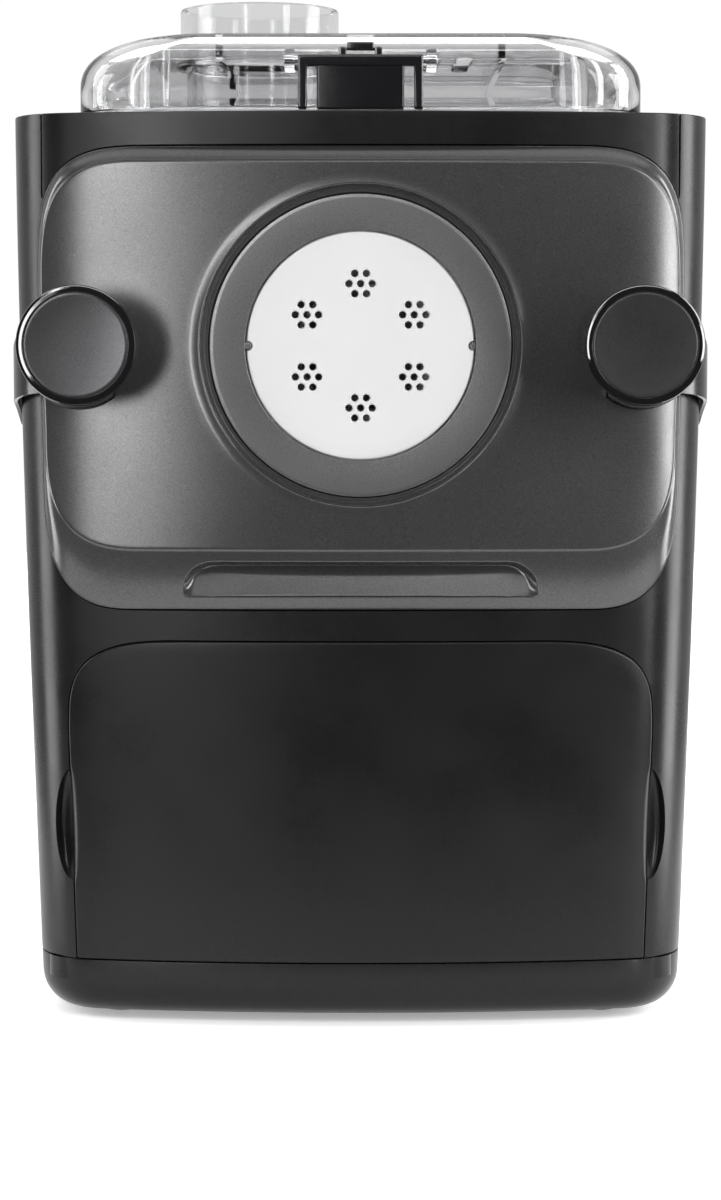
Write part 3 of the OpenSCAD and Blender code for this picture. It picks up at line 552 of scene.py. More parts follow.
# ------------------------------------------------------------------ front panel
def build_panel():
    N = (90, 80, 90, 50, 90, 210, 90, 50)
    O = panel_outline(N=N)
    I = face_pts(106.8, 108.1, 164.2, 294.9, 36, 44, 3.2, 34, 40, 2.9, N=N)
    H = face_pts(98, 100, 172, 292, 30, 36, 3, 24, 26, 3, N=N)
    nO, nI = out_normals(O), out_normals(I)
    ang = np.arctan2(I[:, 1] - 233, I[:, 0])
    C = np.c_[np.cos(ang), np.sin(ang)]
    M = len(O)
    low = np.clip((200 - I[:, 1]) / 30, 0, 1)
    low = low * low * (3 - 2 * low)
    top_ = np.clip((I[:, 1] - 280) / 12, 0, 1)
    step = .7 * (1 - low) + .32 * low + .35 * top_          # height of the shoulder round the face
    shw = .75 * (1 - low) + 1.2 * low + .35 * top_         # its width

    def oy(Q):
        return np.array([panel_out_y(min(abs(q[0]), 118)) for q in Q])

    def fy(Q):
        return np.array([panel_face_y(min(abs(q[0]), 118)) for q in Q])

    rows = []

    def add(Q, Y):
        rows.append([(Q[j, 0], float(Y[j]) if hasattr(Y, "__len__") else Y, Q[j, 1]) for j in range(M)])

    e = .4
    yo = oy(O)
    yb = np.array([max(-146.8, body_y(min(abs(q[0]), 112), q[1]) - .55) for q in O])
    add(O - nO * .5, yb + .25)
    add(O, yb)
    add(O, yo + 2)
    foot = fy(I) + step
    for i in range(6):
        a = pi / 2 * i / 5
        add(O - nO * e * (1 - cos(a)), yo + e * (1 - sin(a)) * .9)
    O1 = O - nO * e
    I1 = I + nI * .12
    nb = 30
    for i in range(1, nb + 1):
        v = i / nb
        Q = O1 * (1 - v) + I1 * v
        # a slightly crowned slope from the outer edge to the foot of the shoulder
        Y = yo * (1 - v) + foot * v - np.sin(pi * v) * (.2 + .25 * low + (.7 - .4 * low) * np.abs(nI[:, 0]) ** 1.5)
        add(Q, Y)
    for i in range(1, 9):
        a = pi / 2 * i / 8
        Q = I - nI * (shw * (1 - cos(a)))[:, None]
        Y = fy(Q) + step * (1 - sin(a))
        add(Q, Y)
    F = I - nI * shw[:, None]
    R0 = 57.6
    Cin = np.c_[C[:, 0] * R0, 233 + C[:, 1] * R0]
    nf = 30
    for i in range(1, nf + 1):
        v = (i / nf)
        v = v ** 1.15
        Q = F * (1 - v) + Cin * v
        add(Q, fy(Q))
    # rim round the ring: soft outer flank, crest that follows the face, two small steps down inside it
    for r in (57.3, 57.0, 56.7, 56.4, 56.1, 55.8, 55.5, 55.2, 54.9, 54.6, 54.4):
        v = (R0 - r) / (R0 - 54.4)
        Q = np.c_[C[:, 0] * r, 233 + C[:, 1] * r]
        add(Q, fy(Q) - .42 * v ** 1.55)
    for r, d in ((54.2, .03), (54.0, .12), (53.88, .26), (53.8, .45), (53.76, .7)):
        Q = np.c_[C[:, 0] * r, 233 + C[:, 1] * r]
        add(Q, fy(Q) - .42 + d)
    prof = rounded([(53.7, -159.95), (53.6, -159.75, .1), (52.45, -159.85, .15), (52.3, -159.4, .1), (51.3, -159.45, .15), (51.05, -159.2, .12), (51.0, -152.0),
                    (46, -152.0), (46, -149.8), (62, -149.8), (62, -154.5)], 4)
    for r, y in prof:
        add(np.c_[C[:, 0] * r, 233 + C[:, 1] * r], y)
    # hollow back
    for v in (.25, .5, .75, 1):
        Q = np.c_[C[:, 0] * 62, 233 + C[:, 1] * 62] * (1 - v) + H * v
        add(Q, fy(Q) + 4)
    add(H, -146.6)
    add(H + out_normals(H) * .3, -146.3)
    o = rings("door_panel", rows, wrap=True, deg=50)
    skin = Skin(o)
    # knob recesses, rod holes
    for s in (-1, 1):
        c = lathe("f1", [(0, -175), (19.0, -175), (19.0, -153.4), (0, -153.4)], s * 94.6, 230.6, 128)
        b = rbox("f2", min(s * 82.75, s * 125), max(s * 82.75, s * 125), -190, -140, 200, 266, .1, 1)
        boolean(c, b, "INTERSECT")
        boolean(o, c)
        boolean(o, lathe("f3", [(0, -175), (6.35, -175), (6.35, -140), (0, -140)], s * 92.5, 233, 64))
    # finger grip in the lower slope: rounded upper corners, straight lower edge

    def grip(x0, x1, z0, z1, r, rb):
        pts = []
        for i in range(15):
            t = pi / 2 * i / 14
            pts.append((x1 - r + r * cos(t) ** .9, z1 - r * .92 + r * .92 * sin(t) ** .9))
        for i in range(15):
            t = pi / 2 + pi / 2 * i / 14
            pts.append((x0 + r - r * abs(cos(t)) ** .9, z1 - r * .92 + r * .92 * sin(t) ** .9))
        for i in range(5):
            t = pi + pi / 2 * i / 4
            pts.append((x0 + rb + rb * cos(t), z0 + rb + rb * sin(t)))
        for i in range(5):
            t = 1.5 * pi + pi / 2 * i / 4
            pts.append((x1 - rb + rb * cos(t), z0 + rb + rb * sin(t)))
        P = np.array(pts)
        P = np.vstack([P, P[:1]])
        return resample(P, 260)
    G = grip(-60, 60, 148.4, 160.3, 11.2, .9)
    G2 = grip(-56.6, 56.6, 148.7, 158.4, 8.6, .5)

    def band_y(x, z):
        k = min(1, max(0, (z - 144.5) / 19))
        return (panel_out_y(x)) * (1 - k) + (panel_face_y(x) + .5) * k - .5 * sin(pi * k)
    rows2 = []
    cG = np.array([0, 150.])

    def gr(Q, f):
        rows2.append([(q[0], f(q[0], q[1]), q[1]) for q in Q])
    nG = out_normals(G)
    gr(G + nG * .45, lambda x, z: band_y(x, z) - 4)
    for a in (90, 65, 40, 20, 0):
        a = math.radians(a)
        gr(G + nG * .45 * (1 - cos(a)), lambda x, z: band_y(x, z) + .45 * (1 - sin(a)))

    def floor_y(x, z):
        k = min(1, max(0, (z - 148.4) / 10.5))
        return -156.33 + 3.45 * k
    for v in (.35, .7, .9, 1.0):
        Q = G * (1 - v) + G2 * v
        w = 1 - (1 - v) ** 2.2
        gr(Q, lambda x, z: band_y(x, z) * (1 - w) + .45 * (1 - w) + floor_y(x, z) * w)
    for v in (.15, .4, .7, .97):
        Q = G2 * (1 - v) + cG * v
        Q[:, 0] = G2[:, 0] * (1 - v)
        gr(Q, floor_y)
    g = rings("f4", rows2, deg=30)
    boolean(o, g)
    reskin(o, [skin], deg=28)
    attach(o, "panel")
    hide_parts("front_panel")

    ring = lathe("ring_plate", [(38.75, -157.9), (38.75, -160.3, .22), (49.5, -160.42, .6), (50.62, -160.23, .25), (50.72, -159.9, .2),
                                (50.72, -152), (42.6, -152), (42.6, -157.9)], 0, 233, 256, closed=True, seg=7, deg=50)
    rs = Skin(ring)
    for s in (-1, 1):
        boolean(ring, lathe("h9", [(0, -159.75), (1.2, -159.75, .2), (1.2, -158.6), (0, -158.6)], s * 37.95, 233, 32), "UNION")
    reskin(ring, [rs])
    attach(ring, "panel")
    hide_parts("disc_ring")
    return o, ring


def build_disc():
    d = lathe("die_disc", [(0, -159.2), (37.75, -159.2, .2), (38.15, -158.95, .2), (38.15, -156.4, .2), (42.2, -156.4, .3), (42.2, -151.4, .3),
                           (29, -151.4), (29, -155.4), (0, -155.4)], 0, 233, 256, deg=30)
    skin = Skin(d)
    cut = []
    for k in range(6):
        a = math.radians(30 + 60 * k)
        gx, gz = 20.8 * cos(a), 233 + 20.8 * sin(a)
        for hx, hz in [(0, 0)] + [(3.9 * cos(math.radians(b)), 3.9 * sin(math.radians(b))) for b in range(0, 360, 60)]:
            cut.append((gx + hx, gz + hz))
    for x, z in cut:
        boolean(d, lathe("h", [(0, -165), (1.55, -165), (1.55, -159.2, .12), (1.2, -158.8, .1), (1.2, -150), (0, -150)], x, z, 28))
    for s in (-1, 1):
        boolean(d, lathe("h", [(0, -165), (1.75, -165), (1.75, -157.2), (0, -157.2)], s * 37.95, 233, 32))
    reskin(d, [skin])
    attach(d, "disc")
    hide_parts("shaping_disc")
    return d


# ------------------------------------------------------------------ knobs and wings
def build_knobs():
    out = {"gloss": [], "cap": [], "washer": [], "ear": []}
    for s, side in ((-1, "left"), (1, "right")):
        k = lathe("knob_body_" + side, [(6.06, -165.3), (17.0, -165.3, .6), (17.7, -168.5, 2), (18.2, -175, 6), (18.7, -182, 8), (19.2, -187.0, 3),
                                        (19.6, -189.4, 1.2), (19.52, -190.7, .7)] +
                  [(r_, -191.72 + (r_ - 17.25) * .1 + max(0.0, r_ - 18.45) * .16 + max(0.0, r_ - 19.15) ** 2)
                                   for r_ in (19.3, 19.15, 18.95, 18.7, 18.53, 18.45, 18.37, 18.1, 17.8, 17.6, 17.45)] +
                  [(17.2, -191.7, .15), (17.1, -191.2), (17.1, -189.75), (10, -189.7), (10, -187), (6.06, -187)],
                  s * 92.5, 233, 200, closed=True, seg=8, deg=40)
        c = lathe("knob_face_" + side, [(16.8 * i / 20, -190.75 - .85 * (i / 20) ** 2.2) for i in range(21)] + [(16.96, -191.5, .08), (16.98, -191.2, .2), (16.98, -189.75, .1), (0, -189.75)],
                  s * 92.5, 233, 200, seg=5, deg=40)
        w = lathe("knob_collar_" + side, [(6.35, -163.35, .1), (16.1, -163.35, .3), (16.4, -163.9, .4), (16.4, -164.8, .4), (16.0, -165.2, .3), (6.35, -165.2, .1)],
                  s * 92.5, 233, 160, closed=True, deg=40)
        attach(k, side + "_knob"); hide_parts("knob_" + side)
        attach(c, side + "_knob"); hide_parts("knob_cap_" + side)
        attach(w, "washer_" + side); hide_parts("knob_washer_" + side)
        # wing: a disc behind the knob and a strap round the body's corner
        disc = lathe("wing_" + side, [(0, -163.15), (17.9, -163.15, .6), (18.6, -162.2, .5), (18.6, -153.5, .2), (0, -153.5)], s * 94.6, 230.6, 200, deg=40)
        sk = [Skin(disc)]
        b = rbox("g1", min(s * 83, s * 130), max(s * 83, s * 130), -190, -140, 200, 266, .1, 1)
        boolean(disc, b, "INTERSECT")

        def strap_ring(off, z):
            w_, yf, rc = 118.4 + off, -162 - off, 24 + off
            cx, by = w_ - rc, yf + PR
            cy = by - math.sqrt((PR - rc) ** 2 - cx * cx)
            a = math.asin(cx / (PR - rc))
            pts = [(PR * sin(t), by - PR * cos(t)) for t in [a * (.94 + .06 * i / 4) for i in range(4)]]
            pts += [(cx + rc * sin(t), cy - rc * cos(t)) for t in [a + (pi / 2 - a) * i / 40 for i in range(41)]]
            pts += [(w_, cy + (-100 - cy) * i / 10) for i in range(1, 11)]
            return [(s * x, y, z) for x, y in pts]
        rows = []
        for z in [194 + 64 * i / 32 for i in range(33)]:
            o_, i_ = strap_ring(1.25, z), strap_ring(.05, z)
            rows.append(o_ + i_[::-1])
        strap = rings("g2", rows)
        sk.append(Skin(strap))
        # the strap seen from the side: a tongue that hangs down behind the corner
        side_pts = [(-172, 219.2), (-160, 217.9), (-151, 216.9), (-142, 215.4), (-133, 213.6), (-126, 211.4), (-119, 208.6),
                    (-114, 206.4), (-110.5, 205.6), (-107.8, 206.4), (-106.6, 209), (-107.6, 213.5), (-110.5, 218.5), (-115, 223), (-121.5, 226.9),
                    (-131, 230.2), (-141, 235.5), (-150, 242), (-160, 248.5), (-172, 252)]
        t_ = np.linspace(0, 1, len(side_pts))
        sp_ = []
        q_ = np.array(side_pts)
        for i in range(len(q_) - 1):
            p0, p1, p2, p3 = q_[max(0, i - 1)], q_[i], q_[i + 1], q_[min(len(q_) - 1, i + 2)]
            for k_ in range(6):
                u = k_ / 6
                sp_.append(.5 * (2 * p1 + (p2 - p0) * u + (2 * p0 - 5 * p1 + 4 * p2 - p3) * u * u + (3 * p1 - p0 - 3 * p2 + p3) * u ** 3))
        sp_.append(q_[-1])
        cutp = rings("g3", [[(s * 95, a, b) for a, b in sp_], [(s * 130, a, b) for a, b in sp_]])
        boolean(strap, cutp, "INTERSECT")
        bev = strap.modifiers.new("v", "BEVEL")
        bev.width, bev.segments, bev.limit_method, bev.angle_limit, bev.profile = .00085, 4, "ANGLE", math.radians(60), .5
        me_ = bpy.data.meshes.new_from_object(strap.evaluated_get(bpy.context.evaluated_depsgraph_get()))
        strap.modifiers.clear()
        strap.data = me_
        boolean(disc, strap, "UNION")
        boolean(disc, lathe("g4", [(0, -180), (6.35, -180), (6.35, -140), (0, -140)], s * 92.5, 233, 64))
        reskin(disc, sk)
        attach(disc, "panel"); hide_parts("ear_" + side)
        out["gloss"].append(k); out["cap"].append(c); out["washer"].append(w); out["ear"].append(disc)
    return out


# ------------------------------------------------------------------ drawer front
def build_drawer():
    P = drawer_outline(N=(70, 60, 70, 50, 6, 110, 6, 50))
    N = out_normals(P)
    rows = []
    # edge radius: small, and wider on both sides beside the finger scoops
    t = np.clip(1 - ((P[:, 1] - 69.3) / 19.7) ** 2, 0, 1) * (np.abs(N[:, 0]) > .8)
    up = np.clip((N[:, 1] - .6) / .3, 0, 1)
    ex = .45 + 2.4 * t ** .6 + .45 * up
    ey = .45 + 1.9 * t ** .6 + .35 * up
    rows.append([(q[0], -146.0, q[1]) for q in P - N * .3])
    rows.append([(q[0], -146.4, q[1]) for q in P])

    def top(q):
        return body_y(q[0], q[1]) - .22
    for i in range(8):
        a = pi / 2 * i / 7
        Q = P - N * (ex * (1 - cos(a)))[:, None]
        rows.append([(q[0], top(q) + k * (1 - sin(a)), q[1]) for q, k in zip(Q, ey)])
    Q0 = P - N * ex[:, None]
    c = np.array([0, 78.])
    for i in range(1, 26):
        v = (i / 25) * .985
        Q = Q0 * (1 - v) + c * v
        rows.append([(q[0], top(q), q[1]) for q in Q])
    o = rings("drawer_face", rows, deg=50)
    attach(o, "drawer"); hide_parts("drawer_front")
    return o


# ------------------------------------------------------------------ lid, latch, cup
def lid_half(z, e):
    t = min(1.0, max(0.0, (z - 322) / 18))
    return 62 + 35.5 * max(0.0, 1 - t ** 2.4) ** (1 / 2.1) - e


def lid_in(z):
    return 0 if z < 332 else 8 - math.sqrt(max(0.0, 64 - (z - 332) ** 2))


def lid_ring(z, zz, e, n=14):
    f = lid_in(z) + e
    w = lid_half(z, e)
    return [(a, b, zz) for a, b in rrect(-w, w, -138 + f, 36 - f, max(2, 22 - f), n)]


LATCH_Y = -143.5


def tube_ring(P, Q, z0, z1, name):
    """Closed wall between outline P and outline Q."""
    return rings(name, [[(a, b, z0) for a, b in P], [(a, b, z1) for a, b in P], [(a, b, z1) for a, b in Q], [(a, b, z0) for a, b in Q]], wrap=True)


def build_lid():
    L = [322 + 18 * (1 - (1 - i / 26) ** 2.2) for i in range(27)]
    outer = [lid_ring(322, 313.6, .5), lid_ring(322, 313.75, .15), lid_ring(322, 314.1, 0), lid_ring(322, 318, 0)] + [lid_ring(z, z, 0) for z in L]
    inner = [lid_ring(z, z - 2.5, 2.5) for z in L[::-1]] + [lid_ring(322, 316, 2.5), lid_ring(322, 313.6, 2.2)]
    lid = rings("lid_shell", inner + outer, deg=40)
    skin = Skin(lid)
    sk = [skin]
    fr = tube_ring(rrect(-79.5, 79.5, -130.5, 28.5, 14, 14), rrect(-77, 77, -128, 26, 12, 14), 316, 338.2, "j1")
    sk.append(Skin(fr))
    boolean(fr, rbox("j1", -90, 90, 18, 40, 310, 345, .1, 1))
    boolean(lid, fr, "UNION")
    for s in (-1, 1):
        boolean(lid, rbox("j2", s * 48.5 - 1.2, s * 48.5 + 1.2, -129, 27, 330, 338.4, .3, 2), "UNION")
    for y in (-96, -14):
        boolean(lid, rbox("j2", 1, 78, y - 1, y + 1, 333.4, 338.4, .3, 2), "UNION")
    col = lathe("j3", [(26.8, 334.6), (29.9, 334.6, .5), (30.5, 335.4, .5), (30.5, 339), (26.8, 339)], -37, -60, 128, "z", closed=True)
    sk.append(Skin(col))
    boolean(lid, col, "UNION")
    for s in (-1, 1):
        a = rbox("j4", s * 65 - 4, s * 65 + 4, 34, 42, 316.4, 327.6, .4, 2)
        boolean(lid, a, "UNION")
        boolean(lid, lathe("j5", [(0, s * 65 - 4), (5.6, s * 65 - 4, .4), (5.6, s * 65 + 4, .4), (0, s * 65 + 4)], 42, 322, 64, "x"), "UNION")
        boolean(lid, rbox("j6", s * 24 - 1.7, s * 24 + 1.7, LATCH_Y, -136, 325.8, 333.4, .3, 2), "UNION")
        boolean(lid, lathe("j7", [(0, s * 24 - 1.7), (3.8, s * 24 - 1.7, .3), (3.8, s * 24 + 1.7, .3), (0, s * 24 + 1.7)], LATCH_Y, 329.6, 48, "x"), "UNION")
    h = lathe("j8", [(0, 300), (27.3, 300), (27.3, 339.3, .4), (28.2, 340.0, .4), (28.2, 350), (0, 350)], -37, -60, 128, "z")
    sk.append(Skin(h))
    boolean(lid, h)
    for s in (-1, 1):
        boolean(lid, lathe("j9", [(0, s * 65 - 9), (2.0, s * 65 - 9), (2.0, s * 65 + 9), (0, s * 65 + 9)], 42, 322, 32, "x"))
        boolean(lid, lathe("j9", [(0, s * 24 - 5), (1.25, s * 24 - 5), (1.25, s * 24 + 5), (0, s * 24 + 5)], LATCH_Y, 329.6, 24, "x"))
    for i in range(3):
        boolean(lid, flare("j10", rrect(10 + i * 12, 16 + i * 12, -100, -30, 2.95, 8), 325, 340, .6))
    sk2 = []
    for q in sk[1:]:
        sk2.append(q)
    reskin(lid, [skin] + sk2, deg=30)
    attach(lid, "lid_body"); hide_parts("lid")

    # latch: hoop, plate and thumb tab
    la = rbox("latch_hoop", -21.3, 21.3, LATCH_Y - 2.1, LATCH_Y + 2.3, 327.4, 331.4, .9, 4)
    for s in (-1, 1):
        boolean(la, rbox("k1", min(s * 18.1, s * 21.3), max(s * 18.1, s * 21.3), LATCH_Y - 2.1, LATCH_Y + 2.3, 313.1, 330.4, .7, 4), "UNION")
    boolean(la, rbox("k2", -14.8, 14.8, LATCH_Y - 1.5, LATCH_Y + 2.1, 313.1, 328.6, .6, 4), "UNION")
    for s in (-1, 1):
        boolean(la, rbox("k3", s * 6.1 - 1.3, s * 6.1 + 1.3, LATCH_Y - 1.1, LATCH_Y + 1.5, 330, 333.9, .3, 2), "UNION")
    boolean(la, rbox("k4", -7, 7, LATCH_Y - .2, LATCH_Y + 1.5, 332.7, 333.7, .3, 2), "UNION")
    boolean(la, rbox("k5", -4.6, 4.6, LATCH_Y - 1.3, LATCH_Y + 1.5, 333.0, 335.5, .5, 3), "UNION")
    boolean(la, lathe("k6", [(0, -30), (1.3, -30), (1.3, 30), (0, 30)], LATCH_Y, 329.6, 24, "x"))
    smooth(la, 32)
    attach(la, "latch"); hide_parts("lid_latch")

    cup = lathe("cup_shell", [(0, 316.2), (5, 316.0, .3), (24.2, 316, 1.2), (26.6, 318, 1.6), (26.85, 339.9, .4), (28.6, 340.3, .6), (28.9, 341.5, .6),
                              (29, 355.2, .5), (28.7, 356, .35), (27.9, 356, .3), (27.7, 354.5, .5), (27.0, 342.6, 1.2), (25.2, 340.8, 1.2), (24.6, 318.9, 1.6), (20, 318.2, 1.0), (0, 318.0)],
                -37, -60, 200, "z", seg=6, deg=50)
    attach(cup, "cup"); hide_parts("measuring_cup")
    return lid, la, cup


# ------------------------------------------------------------------ deck, controls, rear
DZ = 311.2


def build_deck():
    st = [(0, 308.2), (0, 310.9), (.09, 311.1), (.3, 311.2)]
    d = rings("deck_plate", [plan_ring(z, 115.55 - e, -142.8 + e, 60000, 12 - e, 188.8 - e, 14 - e, nb=8) for e, z in st])
    sk = [Skin(d)]
    boolean(d, plate("l1", rrect(-58, 58, 88, 132, 6), DZ - 1, DZ + 1.2, e0=0, e1=.5), "UNION")
    boolean(d, lathe("l2", [(0, DZ - 1), (21, DZ - 1), (21, DZ + 1.2, .5), (0, DZ + 1.2)], 78, 110, 96, "z"), "UNION")
    boolean(d, lathe("l3", [(0, DZ - 1), (16, DZ - 1), (16, DZ + 1.2, .5), (0, DZ + 1.2)], -78, 110, 96, "z"), "UNION")
    for s in (-1, 1):
        for x in (58, 72):
            cx = s * x
            boolean(d, rbox("l4", cx - 2.5, cx + 2.5, 37.2, 46.8, DZ - 1, 322, .4, 2), "UNION")
            boolean(d, lathe("l5", [(0, cx - 2.5), (5.3, cx - 2.5, .4), (5.3, cx + 2.5, .4), (0, cx + 2.5)], 42, 322, 48, "x"), "UNION")
    boolean(d, flare("m1", rrect(-71, 71, -124.2, 20.2, 1.2), 300, DZ, .4))
    boolean(d, flare("m2", rrect(-52.2, 52.2, 93.8, 126.2, 3), DZ - .8, DZ + 1.2, .3))
    boolean(d, flare("m3", rrect(-46, 46, 99, 121, 2), 300, DZ + 2, 0.1))
    for s in (-1, 1):
        boolean(d, lathe("m4", [(0, min(s * 50, s * 80)), (2.05, min(s * 50, s * 80)), (2.05, max(s * 50, s * 80)), (0, max(s * 50, s * 80))], 42, 322, 32, "x"))
    boolean(d, lathe("m5", [(0, 300), (4.3, 300), (4.3, 330), (0, 330)], 78, 110, 48, "z"))
    boolean(d, lathe("m6", [(0, 300), (12.3, 300), (12.3, DZ + 1.2, .4), (13, DZ + 1.2), (13, 330), (0, 330)], -78, 110, 96, "z"))
    for x in (-24, 24):
        boolean(d, lathe("m7", [(0, 300), (7.3, 300), (7.3, DZ, .4), (8, DZ), (8, 330), (0, 330)], x, 152, 72, "z"))
    for i in range(-4, 5):
        boolean(d, flare("m8", rrect(i * 9 - 1.6, i * 9 + 1.6, 168, 182, 1.5), 300, DZ, .3))
    reskin(d, sk, deg=30)
    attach(d, "machine"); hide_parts("top_deck")

    g = plate("screen_glass", rrect(-51.95, 51.95, 94.05, 125.95, 2.9, 10), DZ - .75, DZ + 1.2, e0=0, e1=.35)
    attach(g, "machine"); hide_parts("display_lens")

    # dial with a fluted grip and a pointer
    n = 24 * 14
    prof = rounded([(16.9, DZ + 1.65, .2), (18.2, DZ + 1.7, .5), (18.2, DZ + 4.2, .8), (17.5, DZ + 5.2, .6), (17.35, DZ + 9.6, .9), (16.2, DZ + 11, .9), (13.4, DZ + 10.9, .8), (12.2, DZ + 10.2, .8), (3, DZ + 10.0, 1)], 5)
    rows = []
    for r, z in prof:
        fl = max(0.0, min(1.0, (z - DZ - 4.6) / .8)) * max(0.0, min(1.0, (DZ + 10.9 - z) / .8)) if r > 16 else 0
        rows.append([(78 + (r - .5 * fl * max(0, cos(24 * 2 * pi * k / n)) ** 3) * cos(2 * pi * k / n),
                      110 + (r - .5 * fl * max(0, cos(24 * 2 * pi * k / n)) ** 3) * sin(2 * pi * k / n), z) for k in range(n)])
    dial = rings("dial_grip", rows, deg=40)
    sp = lathe("dial_spindle", [(0, 301), (4, 301, .4), (4, DZ + 3), (0, DZ + 3)], 78, 110, 48, "z")
    mark = rbox("dial_mark", 77.3, 78.7, 93.9, 97.4, DZ + 10.5, DZ + 11.05, .2, 2)
    for o, m in ((dial, 1), (sp, 0), (mark, 0)):
        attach(o, "dial"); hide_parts("control_dial")
    btn = []
    for nm, body, x, y, r, h in (("start_button", "start_key", -78, 110, 12, 4), ("timer_button", "timer_key", -24, 152, 7, 1.8), ("mode_button", "mode_key", 24, 152, 7, 1.8)):
        t = DZ + h
        b = lathe(nm + "_key", [(0, 298.6), (2.5, 298.6, .3), (2.5, 304), (r + 1.5, 304, .2), (r + 1.5, 306.4, .2), (r, 306.4), (r, t, .8), (r * .82, t - .05, .4),
                                (r * .74, t - .5, .5), (r * .4, t - .62, 2), (0, t - .65)], x, y, 96, "z", seg=5)
        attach(b, body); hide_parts(nm)
        btn.append(b)
    return d, g, dial, sp, mark, btn


def build_rear():
    p = plate("rear_panel", rrect(-91.7, 91.7, 42.3, 295.7, 7.7, 12), 188.0, 192, "y", e0=0, e1=.6)
    sk = [Skin(p)]
    boolean(p, plate("n1", rrect(-96.5, 96.5, 36, 302, 12, 12), 186, 188.6, "y", e0=.3, e1=0), "UNION")
    boolean(p, rbox("n2", -84, -52, 176, 188.4, 49, 81, .5, 2), "UNION")
    for s in (-1, 1):
        for z in (94, 286):
            boolean(p, lathe("n3", [(0, 170), (4, 170, .3), (4, 187), (0, 187)], s * 84, z, 40), "UNION")
    for i in range(9):
        boolean(p, flare("n4", rrect(-52, 40, 128 + i * 9, 132 + i * 9, 1.9, 8), 160, 192, .5, "y"))
    for i in range(5):
        boolean(p, flare("n5", rrect(-70, 70, 236 + i * 9, 240 + i * 9, 1.9, 8), 160, 192, .5, "y"))
    boolean(p, flare("n6", rrect(50.2, 81.8, 53.2, 76.8, 2), 160, 192, .5, "y"))
    boolean(p, flare("n7", rrect(-80.2, -55.8, 52.8, 77.2, .8), 178, 192, .5, "y"))
    for s in (-1, 1):
        for z in (94, 286):
            boolean(p, lathe("n8", [(0, 160), (1.75, 160), (1.75, 189.7), (4.2, 189.7), (4.2, 192, .4), (4.7, 192), (4.7, 200), (0, 200)], s * 84, z, 48))
    reskin(p, sk, deg=30)
    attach(p, "machine"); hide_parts("rear_cover")

    k = plate("inlet_body", rrect(50.4, 81.6, 53.4, 76.6, 2, 8), 168, 192, "y", e0=.4, e1=.4)
    boolean(k, plate("o1", rrect(46, 86, 50, 80, 3, 8), 183, 185.9, "y", e0=.3, e1=.3), "UNION")
    boolean(k, flare("o2", rrect(54, 78, 56.5, 73.5, 3, 8), 173, 192, .4, "y"))
    smooth(k, 32)
    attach(k, "machine"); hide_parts("inlet_socket")
    pins = []
    for i, (a, b) in enumerate(((-7, 1.5), (0, -2.5), (7, 1.5))):
        q = rbox("inlet_pin_%d" % (i + 1), 64 + a, 68 + a, 164, 186, 64 + b, 66 + b, .35, 3)
        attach(q, "machine"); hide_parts("inlet_socket")
        pins.append(q)

    feet = []
    for s in (-1, 1):
        for y in (-122, 158):
            feet.append(lathe("f", [(0, 0.25), (5.5, .2, .3), (6.2, 0, .3), (8.4, 0, .6), (9, .8, .5), (9, 4.2, .2), (3, 4.2), (3, 6.0), (4, 6.0, .2), (2.4, 9, .4), (0, 9)], s * 84, y, 72, "z"))
    ft = join("rubber_pads", feet)
    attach(ft, "machine"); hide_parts("rubber_feet")
    return p, k, pins, ft


# ------------------------------------------------------------------ materials
def setup(name):
    m = bpy.data.materials.new(name)
    m.use_nodes = True
    nt = m.node_tree
    b = nt.nodes["Principled BSDF"]
    return m, nt, b


def node(nt, kind, **inp):
    n = nt.nodes.new(kind)
    for k, v in inp.items():
        if k in n.inputs:
            n.inputs[k].default_value = v
        else:
            setattr(n, k, v)
    return n


def noise(nt, co, scale, detail=4.0, rough=.5, dist=0.0):
    n = nt.nodes.new("ShaderNodeTexNoise")
    n.inputs["Scale"].default_value = scale
    n.inputs["Detail"].default_value = detail
    n.inputs["Roughness"].default_value = rough
    n.inputs["Distortion"].default_value = dist
    nt.links.new(co, n.inputs["Vector"])
    return n


def ramp(nt, fac, lo, hi, a, b):
    r = nt.nodes.new("ShaderNodeMapRange")
    r.inputs["From Min"].default_value = lo
    r.inputs["From Max"].default_value = hi
    r.inputs["To Min"].default_value = a
    r.inputs["To Max"].default_value = b
    nt.links.new(fac, r.inputs["Value"])
    return r.outputs["Result"]


